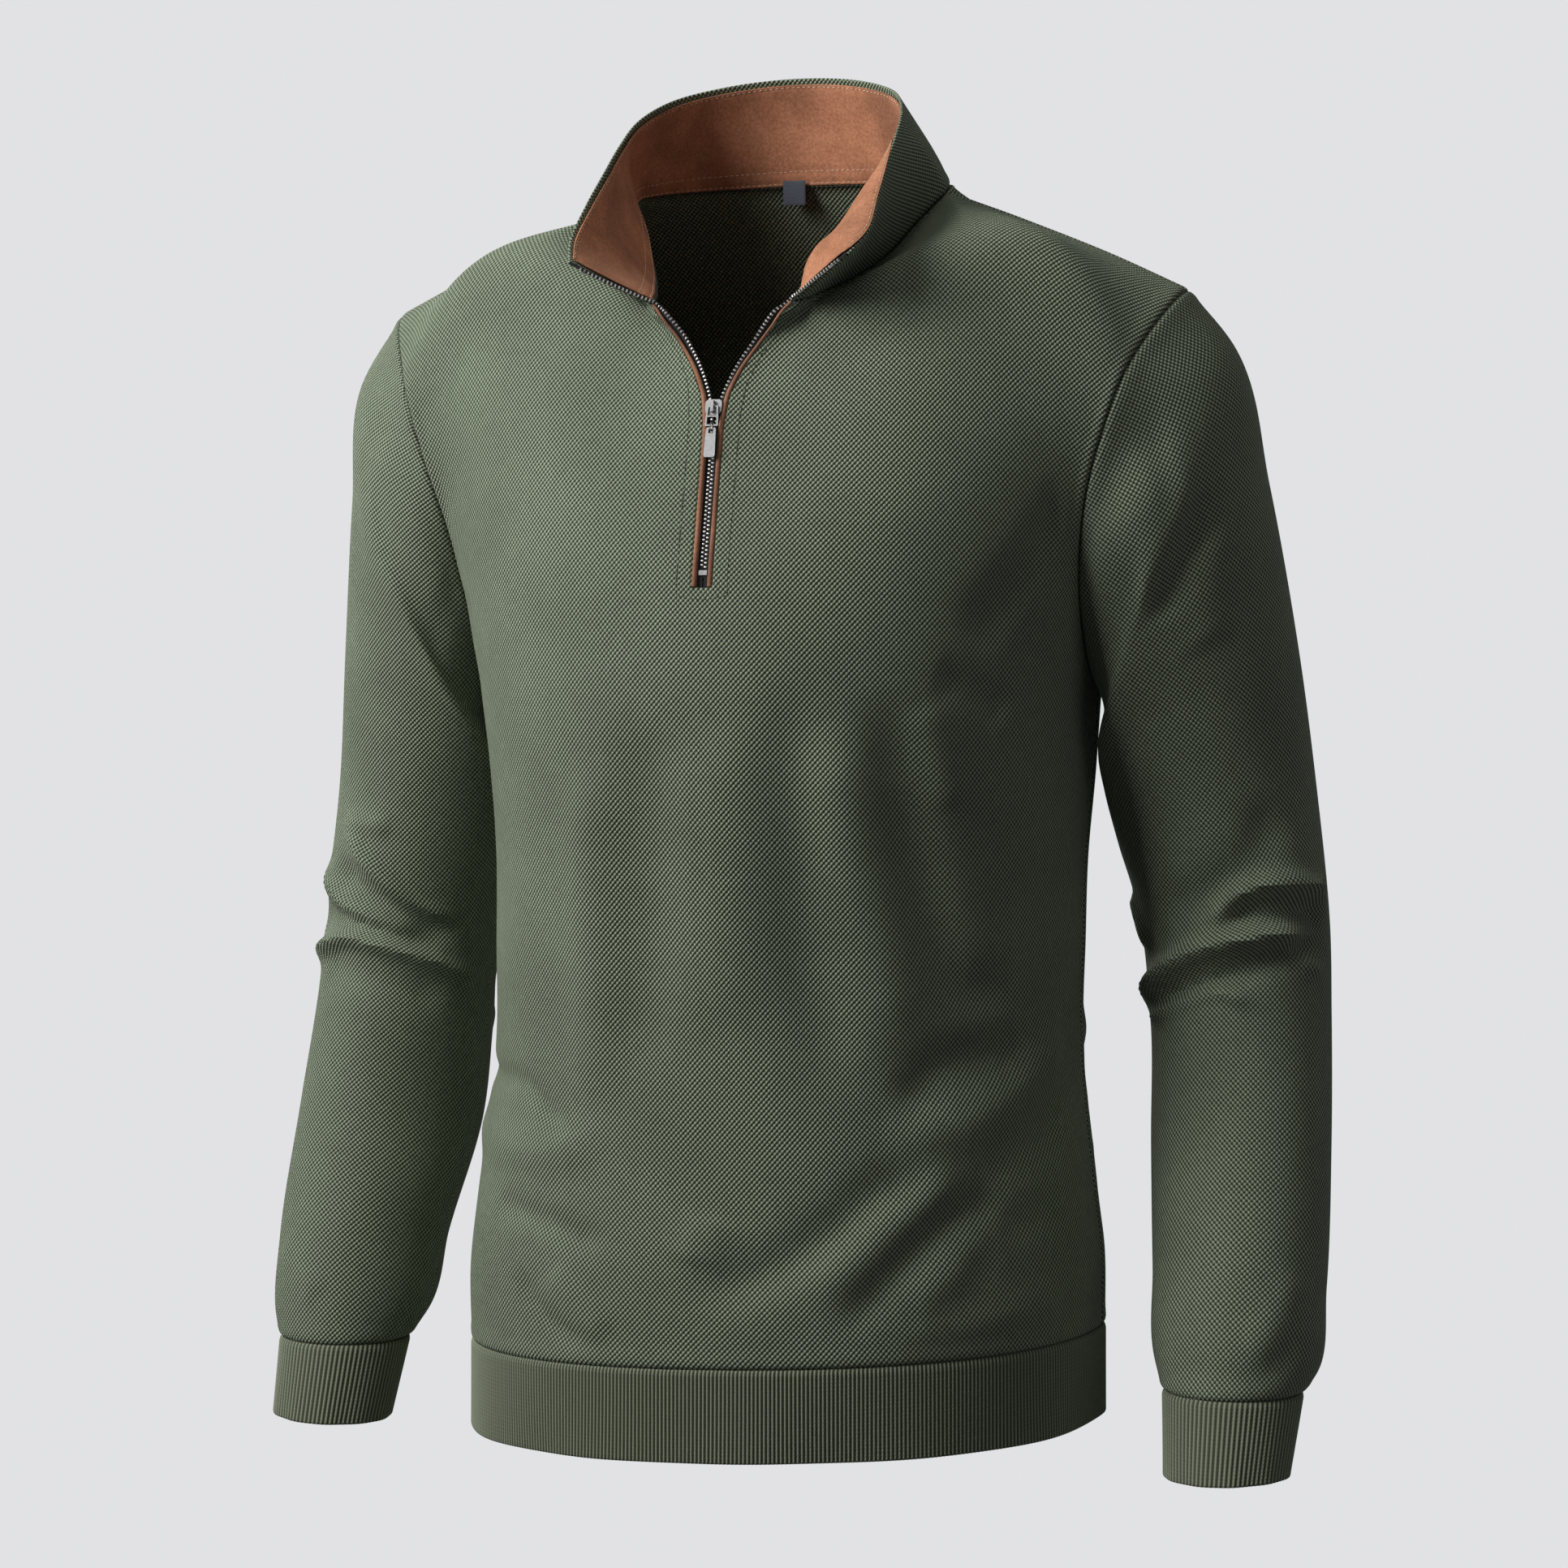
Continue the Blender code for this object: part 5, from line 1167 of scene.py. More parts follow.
@dataclass(frozen=True)
class Body:
    """The front panel with its zip slit, and the back panel."""

    form: TorsoForm
    finishes: Finishes
    cloth: float = 0.0018
    step: float = 0.0031
    back_step: float = 0.0038
    half_width: float = 0.235
    topstitch: Stitching = Stitching()
    placket: float = 0.0060
    below_zip: float = 0.0060
    neck_offset: float = 0.0040

    def shares(self, place: float, step: float, front: bool) -> Array:
        """Return the shares of a half panel's columns at a place, from its inner edge to its side."""
        form = self.form
        start = float(form.slit_share(place)[0]) if front else 0.0
        inner = seam_places(0.0, form.neck_share * self.half_width, step, near_start=front)
        inner = inner / inner[-1] * (form.neck_share - start) + start
        outer = seam_places(0.0, (1.0 - form.neck_share) * self.half_width, step, near_end=True)
        outer = outer / outer[-1] * (1.0 - form.neck_share) + form.neck_share
        return np.concatenate([inner, outer[1:]])

    def grid(self, front: bool) -> ClothGrid:
        """Return one panel's cloth.

        Args:
            front: Whether it is the front panel.

        Returns:
            The grid, from the hem seam upwards.
        """
        form = self.form
        step = self.step if front else self.back_step
        if front:
            lower = seam_places(0.0, form.slit_foot, step, near_start=True)
            upper = seam_places(form.slit_foot, form.top, step, near_end=True)
            places = np.concatenate([lower, upper[1:]])
        else:
            lower = []
            places = seam_places(0.0, form.top, step, near_start=True, near_end=True)
        half = np.array([self.shares(place, step, front) for place in places])
        inner = -half[:, ::-1] if front else -half[:, :0:-1]
        shares = np.concatenate([inner, half], axis=1)
        place = np.repeat(places[:, None], shares.shape[1], axis=1)
        points = form.surface(shares, place, front)
        normals = grid_normals(points) * (1.0 if front else -1.0)
        up = walked(points)
        centre = points.shape[1] // 2
        sides = [np.linalg.norm(points[:, [col]] - points, axis=-1) for col in (0, -1)]
        sewn = np.minimum.reduce([*sides, up, up[-1:] - up])
        edge = None
        if front:
            slit = np.minimum(*(np.linalg.norm(points[:, [col]] - points, axis=-1)
                                for col in (centre - 1, centre)))
            edge = np.where(place >= form.slit_foot, slit, 1.0)
        slot = (half.shape[1] - 1, len(lower) - 1) if front else None
        return ClothGrid(points, normals, self.cloth, slot=slot, edge=edge, sewn=sewn)

    def cloths(self) -> dict[str, ClothGrid]:
        """Return both panels' cloths by the names of their nodes."""
        return {"front_panel": self.grid(True), "back_panel": self.grid(False)}

    def build(self, seams: Seams) -> None:
        """Build both panels, once sewn, and their topstitching."""
        stitches = fitted(self.sewing(), "knit")
        for name, pieces in (("front_panel", [stitches]), ("back_panel", [])):
            grid = seams.grids[name]
            piece = fitted(grid.build(name + "_cloth", self.finishes.knit), "knit", name)
            flat, area = grid.cut()

    def sewing(self) -> bpy.types.Object:
        """Return the topstitching beside the zip and round the neck."""
        form = self.form
        mesh = bmesh.new()
        places = np.linspace(form.slit_foot - self.below_zip, form.top - self.neck_offset, 60)
        slit = form.slit_share(np.maximum(places, form.slit_foot)) + self.placket / self.half_width
        for side in (1.0, -1.0):
            self.topstitch.sew(mesh, form.surface(side * slit, places, True),
                               form.normal(side * slit, places, True))
            self.sew_neck(mesh, side * np.linspace(slit[-1], form.neck_share, 60), True)
        across = np.linspace(-1.0, 1.0, 20) * slit[0]
        foot = np.full_like(across, places[0])
        self.topstitch.sew(mesh, form.surface(across, foot, True), form.normal(across, foot, True))
        self.sew_neck(mesh, np.linspace(-form.neck_share, form.neck_share, 120), False)
        return finished("body_topstitching", mesh, self.finishes.green_thread)

    def sew_neck(self, mesh: bmesh.types.BMesh, shares: Array, front: bool) -> None:
        """Add the stitches beside the neck seam, on the swell of the cloth there."""
        neck = np.full_like(shares, self.form.top - self.neck_offset)
        normals = self.form.normal(shares, neck, front)
        swell = float(SEAM.height(np.array(self.neck_offset)))
        self.topstitch.sew(mesh, self.form.surface(shares, neck, front) + normals * swell, normals)


# ------------------------------------------------------------------ sleeves
@dataclass(frozen=True)
class SleeveForm:
    """A sleeve's surface as worn, from the armhole seam to the cuff seam.

    Turns are in degrees, 0 outside and 90 in front, and distances run down the sleeve. Each
    section holds its outermost and innermost points, its half depth and how far its front is raised.
    """

    torso: TorsoForm
    sections: tuple = (
        ((0.2585, 0.027, -0.100), (0.1850, 0.029, -0.298), 0.0600, 0.004),
        ((0.2725, 0.042, -0.170), (0.1800, 0.036, -0.322), 0.0600, 0.006),
        ((0.2860, 0.059, -0.262), (0.1800, 0.050, -0.345), 0.0580, 0.008),
        ((0.2950, 0.069, -0.345), (0.1850, 0.063, -0.375), 0.0560, 0.008),
        ((0.3020, 0.066, -0.410), (0.1962, 0.067, -0.415), 0.0530, 0.004),
        ((0.3045, 0.059, -0.465), (0.2025, 0.067, -0.475), 0.0510, 0.006),
        ((0.3078, 0.039, -0.535), (0.2050, 0.056, -0.540), 0.0500, 0.008),
        ((0.3094, 0.014, -0.610), (0.2130, 0.023, -0.605), 0.0470, 0.006),
        ((0.3066, 0.002, -0.654), (0.2180, 0.004, -0.650), 0.0430, 0.003),
        ((0.3005, -0.006, -0.6635), (0.2245, -0.006, -0.6640), 0.0365, 0.000),
    )
    cuff_foot: tuple = ((0.2965, -0.024, -0.7050), (0.2290, -0.0225, -0.7080), 0.0335, 0.000)
    armhole_middle: tuple[float, float, float] = (0.2080, 0.012, -0.175)
    top_fade: float = 0.012
    cuff_fade: float = 0.020
    per_degree: float = 0.30 / 360.0

    @staticmethod
    def section(spec: tuple, turn: Array) -> Array:
        """Return the points round a section."""
        outer, inner = np.array(spec[0]), np.array(spec[1])
        angle = np.radians(turn)[..., None]
        ahead = np.array([0.0, -spec[2], spec[3]])
        return 0.5 * (outer + inner) + 0.5 * (outer - inner) * np.cos(angle) + ahead * np.sin(angle)

    def armhole(self, turn: Array) -> Array:
        """Return the armhole seam's points on the +X side, 0 at the tip and 180 under the arm."""
        turn = np.mod(np.asarray(turn, dtype=float), 360.0)
        climb = 1.0 - np.where(turn <= 180.0, turn, 360.0 - turn) / 180.0
        place = self.torso.underarm + climb * (self.torso.top - self.torso.underarm)
        ones = np.ones_like(turn)
        front = self.torso.surface(ones, place, True)
        back = self.torso.surface(ones, place, False)
        return np.where((turn <= 180.0)[..., None], front, back)

    @property
    def knots(self) -> Array:
        """Return the distance down the sleeve of the armhole and of each section."""
        middles = [np.array(self.armhole_middle)]
        middles += [0.5 * (np.array(row[0]) + np.array(row[1])) for row in self.sections]
        steps = [np.linalg.norm(b - a) for a, b in zip(middles, middles[1:])]
        return np.concatenate([[0.0], np.cumsum(steps)])

    def smooth(self, turn: Array, down: Array, armhole: Array) -> Array:
        """Return points of the sleeve without its folds, given the armhole's points at the turns."""
        stations = [armhole] + [self.section(row, turn) for row in self.sections]
        knots = self.knots
        return along(knots, stations, slopes(knots, stations), down)

    def grid(self, turns: Array, downs: Array, creases: Iterable[Crease]) -> Array:
        """Return the folded surface's points for every turn at every distance down."""
        ring = self.armhole(turns)
        turn, down = np.meshgrid(turns, downs)
        armhole = np.repeat(ring[None], len(downs), axis=0)
        points = self.smooth(turn, down, armhole)
        height = relief(creases, turn, down, self.per_degree)
        fade = ease(down / self.top_fade) * ease((self.knots[-1] - down) / self.cuff_fade)
        return points + grid_normals(points, closed=True) * (height * fade)[..., None]


@dataclass(frozen=True)
class Sleeve:
    """One set-in sleeve of sage knit."""

    form: SleeveForm
    finishes: Finishes
    side: Side
    creases: tuple[Crease, ...]
    cloth: float = 0.0018
    columns: int = 108
    step: float = 0.0031

    @property
    def name(self) -> str:
        """Return the sleeve's node."""
        return "sleeve_" + self.side.word

    def cloths(self) -> dict[str, ClothGrid]:
        """Return the sleeve's cloth, from the armhole down, by the name of its node."""
        turns = np.linspace(180.0, -180.0, self.columns + 1)
        downs = seam_places(0.0, float(self.form.knots[-1]), self.step, near_start=True, near_end=True)
        points = self.form.grid(turns, downs, self.creases)
        points[:, -1] = points[:, 0]
        points = points * np.array([self.side.value, 1.0, 1.0])
        normals = grid_normals(points, closed=True) * -self.side.value
        down = walked(points)
        sewn = np.minimum(down, down[-1:] - down)
        return {self.name: ClothGrid(points, normals, self.cloth, closed=True, sewn=sewn)}

    def build(self, seams: Seams) -> None:
        """Build the sleeve's tube, once sewn."""
        grid = seams.grids[self.name]
        piece = fitted(grid.build(self.name + "_cloth", self.finishes.knit), "knit", self.name)
        size, area = grid.cut()


# ------------------------------------------------------------------ ribbed bands
@dataclass(frozen=True)
class RibbedBand:
    """A doubled band of upright ribs between two loops, with a rounded fold at its foot."""

    name: str
    node: str
    ribs: int
    finish: bpy.types.Material
    relief: float = 0.00085
    base: float = 0.0022
    per_rib: int = 6
    rows: int = 12
    squared: float = 0.8
    wander: float = 0.0007
    waves: tuple[float, ...] = (5.0, 11.0)

    def loop(self, points: Array) -> tuple[Array, Array]:
        """Return points spaced evenly round a closed loop, ending on the first, and outward normals."""
        ring = np.vstack([points, points[:1]])
        walk = walked(ring)
        wanted = np.arange(self.ribs * self.per_rib) * walk[-1] / (self.ribs * self.per_rib)
        even = sampled(ring, walk, wanted)
        ahead = np.roll(even, -1, axis=0) - np.roll(even, 1, axis=0)
        normals = unit(np.stack([ahead[:, 1], -ahead[:, 0], np.zeros(len(even))], axis=-1))
        if np.sum(normals * (even - even.mean(axis=0))) < 0.0:
            normals = -normals
        close = [*range(len(even)), 0]
        return even[close], normals[close]

    def profile(self, length: float) -> Table:
        """Return rows of share down the band, drop below its foot, depth inside and rib strength."""
        half = 0.5 * self.base
        outside = [(0.0, 0.0, 0.0012, 0.7), (0.0012 / length, 0.0, 0.0004, 0.9),
                   (0.0030 / length, 0.0, 0.0, 1.0)]
        outside += [(share, 0.0, 0.0, 1.0) for share in np.linspace(0.08, 0.955, self.rows)]
        fold = [(1.0 - half / length, half * math.sin(angle), half * (1.0 - math.cos(angle)),
                 math.cos(angle / 2.0) ** 2) for angle in np.linspace(0.0, math.pi, 7)]
        inside = [(share, 0.0, self.base, 0.0) for share in (0.8, 0.5, 0.2, 0.0)]
        return tuple(outside + fold + inside)

    def build(self, top: Array, foot: Array) -> bpy.types.Object:
        """Build the band.

        Args:
            top: Points round the seam that it hangs from.
            foot: Points round its foot.

        Returns:
            The piece.
        """
        high, high_out = self.loop(top)
        low, low_out = self.loop(foot)
        length = float(np.linalg.norm(high - low, axis=1).mean())
        turns = np.arange(len(high)) / self.per_rib
        sway = np.sin(2.0 * math.pi * turns / turns[-1] * np.array(self.waves)[:, None]).sum(axis=0)
        rib = np.cos(2.0 * math.pi * turns)
        rib = np.sign(rib) * np.abs(rib) ** self.squared
        points, flat = [], []
        down_walk = 0.0
        last = None
        for share, drop, depth, strength in self.profile(length):
            spine = high + (low - high) * share
            out = unit(high_out + (low_out - high_out) * share)
            lift = 0.5 * self.relief * rib * strength - depth + self.wander * sway * share ** 2
            spot = spine + out * lift[:, None] - np.array([0.0, 0.0, drop])
            down_walk += 0.0 if last is None else float(np.linalg.norm(spot - last, axis=1).mean())
            last = spot
            points.append(spot)
            flat.append(np.stack([turns, np.full_like(turns, -down_walk)], axis=-1))
        mesh = bmesh.new()
        layer = mesh.loops.layers.uv.new("flat")
        mark = lay(mesh, np.stack(points))
        for face in mesh.faces:
            for corner in face.loops:
                row, col = divmod(corner.vert[mark], len(turns))
                corner[layer].uv = flat[row][col]
        bmesh.ops.remove_doubles(mesh, verts=mesh.verts[:], dist=1e-6)
        rims = [edge for edge in mesh.edges if edge.is_boundary]
        bmesh.ops.bridge_loops(mesh, edges=rims)
        piece = fitted(finished(self.name, mesh, self.finish, 75.0), "rib", self.node)
        return piece


@dataclass(frozen=True)
class Bands:
    """The hem band and both cuffs."""

    torso: TorsoForm
    sleeve: SleeveForm
    finishes: Finishes
    hem_height: float = 0.050
    hem_ribs: int = 430
    cuff_ribs: int = 84
    gap: float = 0.0001

    def build(self) -> None:
        """Build the hem band and a cuff on each side."""
        shares = np.linspace(-1.0, 1.0, 300, endpoint=False)
        start = np.zeros_like(shares)
        seam = np.vstack([self.torso.surface(shares, start, True), self.torso.surface(-shares, start, False)])
        band = RibbedBand("hem_band_ribs", "hem_band", self.hem_ribs, self.finishes.rib)
        band.build(seam - np.array([0.0, 0.0, self.gap]), seam - np.array([0.0, 0.0, self.hem_height]))
        turns = np.arange(0.0, 360.0, 2.0)
        top = self.sleeve.section(self.sleeve.sections[-1], turns) - np.array([0.0, 0.0, 2.0 * self.gap])
        foot = self.sleeve.section(self.sleeve.cuff_foot, turns)
        for side in Side:
            flip = np.array([side.value, 1.0, 1.0])
            band = RibbedBand(f"cuff_{side.word}_ribs", "cuff_" + side.word, self.cuff_ribs,
                              self.finishes.rib, wander=0.0003)
            band.build(top * flip, foot * flip)


# ------------------------------------------------------------------ collar
@dataclass(frozen=True)
class CollarForm:
    """The standing collar's surface; a turn is 1 at the +X front edge, 0 behind and -1 at the other.

    The edge table holds x on the +X side, x on the other side, y and z, from the front edge round to
    the back.
    """

    torso: TorsoForm
    edge_table: Table = (
        (0.0790, 0.0810, -0.1140, -0.0550),
        (0.0850, 0.0870, -0.0970, -0.0410),
        (0.0840, 0.0860, -0.0760, -0.0190),
        (0.0825, 0.0835, -0.0540, 0.0020),
        (0.0810, 0.0820, -0.0320, 0.0205),
        (0.0775, 0.0790, -0.0100, 0.0370),
        (0.0660, 0.0680, 0.0140, 0.0510),
        (0.0420, 0.0440, 0.0340, 0.0605),
        (0.0000, 0.0000, 0.0450, 0.0655),
    )
    bulge: float = 0.003
    middle: tuple[float, float, float] = (0.0, -0.010, 0.0)
    shoulder: float = 0.5

    def seam(self, turn: Array) -> Array:
        """Return the neck seam's points."""
        turn = np.asarray(turn, dtype=float)
        side = np.where(turn < 0.0, -1.0, 1.0)
        size = np.abs(turn)
        top = np.full_like(size, self.torso.top)
        nick = float(self.torso.slit_share(self.torso.top)[0])
        forward = np.clip((size - self.shoulder) / (1.0 - self.shoulder), 0.0, 1.0)
        front_share = self.torso.neck_share + (nick - self.torso.neck_share) * forward
        back_share = self.torso.neck_share * np.clip(size / self.shoulder, 0.0, 1.0)
        front = self.torso.surface(side * front_share, top, True)
        back = self.torso.surface(side * back_share, top, False)
        return np.where((size > self.shoulder)[..., None], front, back)

    def edge(self, turn: Array) -> Array:
        """Return the collar's top edge at the same turns as the neck seam."""
        right = [(row[0], row[2], row[3]) for row in self.edge_table]
        left = [(-row[1], row[2], row[3]) for row in self.edge_table[:-1]]
        return curve(tuple(right + left[::-1]), (1.0 - np.asarray(turn, dtype=float)) / 2.0)

    def grid(self, turns: Array, rises: Array) -> Array:
        """Return the outer face's points for every turn at every rise from 0 at the seam to 1."""
        foot = np.repeat(self.seam(turns)[None], len(rises), axis=0)
        head = np.repeat(self.edge(turns)[None], len(rises), axis=0)
        rise = np.repeat(rises[:, None], len(turns), axis=1)[..., None]
        outward = unit((foot - np.array(self.middle)) * np.array([1.0, 1.0, 0.0]))
        return foot + (head - foot) * rise + outward * self.bulge * 4.0 * rise * (1.0 - rise)


@dataclass(frozen=True)
class Collar:
    """The knitted standing collar, its suede facing, and the stitching on it.

    The facing billows on the wearer's left, between two turns. Each row of stitches holds its
    distance from the facing's foot, or from its top where the second value is true.
    """

    form: CollarForm
    finishes: Finishes
    cloth: float = 0.0016
    facing_cloth: float = 0.0012
    facing_gap: float = 0.0009
    facing_turn: float = 0.988
    facing_low: float = 0.004
    facing_high: float = 0.956
    height: float = 0.062
    half_length: float = 0.22
    across_step: float = 0.0026
    up_step: float = 0.0024
    facing_step: float = 0.0022
    billow: tuple[float, float, float] = (-0.0135, 0.005, 0.0095)
    billow_turns: tuple[float, float] = (0.50, 0.27)
    billow_end: float = 0.07
    billow_power: float = 0.55
    stitching: Stitching = Stitching(0.0022, 0.0032, 0.00026)
    stitch_rows: tuple[tuple[float, bool], ...] = ((0.0085, False), (0.0016, False), (0.0016, True))
    front_row: float = 0.0022
    dip_width: float = 0.0009
    dip_depth: float = 0.00035

    def turns(self, reach: float) -> Array:
        """Return the turns of the columns out to a reach on both sides."""
        half = seam_places(0.0, self.half_length, self.across_step, near_end=True) / self.half_length
        return np.concatenate([-half[:0:-1], half]) * reach

    def flat(self, points: Array) -> Array:
        """Return the cut's flat places of a grid of the collar."""
        across = walked(points, axis=1)
        middle = across.shape[1] // 2
        return np.stack([across - across[:, middle:middle + 1], walked(points)], axis=-1)

    def outer(self) -> ClothGrid:
        """Return the knitted outer cloth, with rounded top and front edges."""
        rises = seam_places(0.0, self.height, self.up_step, near_start=True, near_end=True) / self.height
        points = self.form.grid(self.turns(1.0), rises)
        flat = self.flat(points)
        up = walked(points)
        top_gap = up[-1:] - up
        across = walked(points, axis=1)
        front_gap = np.minimum(across, across[:, -1:] - across)
        return ClothGrid(points, -grid_normals(points), self.cloth, flat,
                         edge=np.minimum(top_gap, front_gap), sewn=up)

    def lining(self) -> tuple[ClothGrid, Array]:
        """Return the suede facing and its inner face, dipped along its stitch lines."""
        rises = seam_places(self.facing_low * self.height, self.facing_high * self.height,
                            self.facing_step, near_start=True, near_end=True) / self.height
        turns = self.turns(self.facing_turn)
        points = self.form.grid(turns, rises)
        rise = (rises - rises[0]) / (rises[-1] - rises[0])
        start, run = self.billow_turns
        loose = ease((turns - start) / run) * ease((1.0 - turns) / self.billow_end)
        share = np.sin(math.pi * rise)[:, None] ** self.billow_power * loose
        points = points + share[..., None] * np.array(self.billow)
        normals = -grid_normals(points)
        points = points - normals * (self.cloth + self.facing_gap)
        up = walked(points)
        across = walked(points, axis=1)
        front_gap = np.minimum(across, across[:, -1:] - across)
        gaps = [np.abs((up[-1:] - up if from_top else up) - row) for row, from_top in self.stitch_rows]
        gaps.append(np.abs(front_gap - self.front_row))
        dip = sum(np.exp(-(gap / self.dip_width) ** 2) for gap in gaps)
        points = points + normals * (self.dip_depth * dip)[..., None]
        edge = np.minimum(np.minimum(up, up[-1:] - up), front_gap)
        grid = ClothGrid(points, normals, self.facing_cloth, self.flat(points), edge=edge)
        return grid, grid.walls()[1]

    def cloths(self) -> dict[str, ClothGrid]:
        """Return the knitted outer cloth by the name of its node."""
        return {"collar_outer": self.outer()}

    def build(self, seams: Seams) -> None:
        """Build the collar's cloths, once sewn, and their stitches."""
        outer = seams.grids["collar_outer"]
        facing, face = self.lining()
        tan = self.lining_stitches(facing, face)
        size, area = outer.cut()
        piece = fitted(outer.build("collar_outer_cloth", self.finishes.knit), "knit", "collar_outer")
        size, area = facing.cut()
        piece = fitted(facing.build("collar_facing_suede", self.finishes.suede), "suede", "collar_facing")

    def lining_stitches(self, facing: ClothGrid, face: Array) -> bpy.types.Object:
        """Return the tan stitches along the facing."""
        mesh = bmesh.new()
        up = walked(face)
        total = up[-1]
        for height, from_top in self.stitch_rows:
            wanted = total - height if from_top else np.full_like(total, height)
            path = np.array([sampled(face[:, col], up[:, col], wanted[col])
                             for col in range(3, face.shape[1] - 3)])
            middle = len(face) // 2
            self.stitching.sew(mesh, path, -facing.normals[middle, 3:-3])
        return fitted(finished("facing_stitches", mesh, self.finishes.tan_thread), "suede")


@dataclass(frozen=True)
class NeckLabel:
    """A small bare woven label inside the back of the neck."""

    finishes: Finishes
    width: float = 0.0135
    low: float = -0.0060
    high: float = 0.0082
    side: float = -0.0070
    face: float = 0.0568
    cloth: float = 0.0008
    bow: float = 0.0004

    def build(self) -> None:
        """Build the label as a slightly bowed cloth with soft edges."""
        across = seam_places(0.0, self.width, 0.0006)
        up = seam_places(0.0, self.high - self.low, 0.0006)
        x, z = np.meshgrid(across, up)
        bow = self.bow * np.sin(math.pi * x / self.width) * np.sin(math.pi * z / up[-1])
        points = np.stack([x - 0.5 * self.width + self.side, self.face - bow, z + self.low], axis=-1)
        normals = np.zeros_like(points)
        normals[..., 1] = -1.0
        edge = np.minimum(np.minimum(x, self.width - x), np.minimum(z, up[-1] - z))
        grid = ClothGrid(points, normals, self.cloth, np.stack([x, z], axis=-1), edge=edge)
        piece = fitted(grid.build("neck_label_cloth", self.finishes.label), "label", "neck_label")
        size, area = grid.cut()


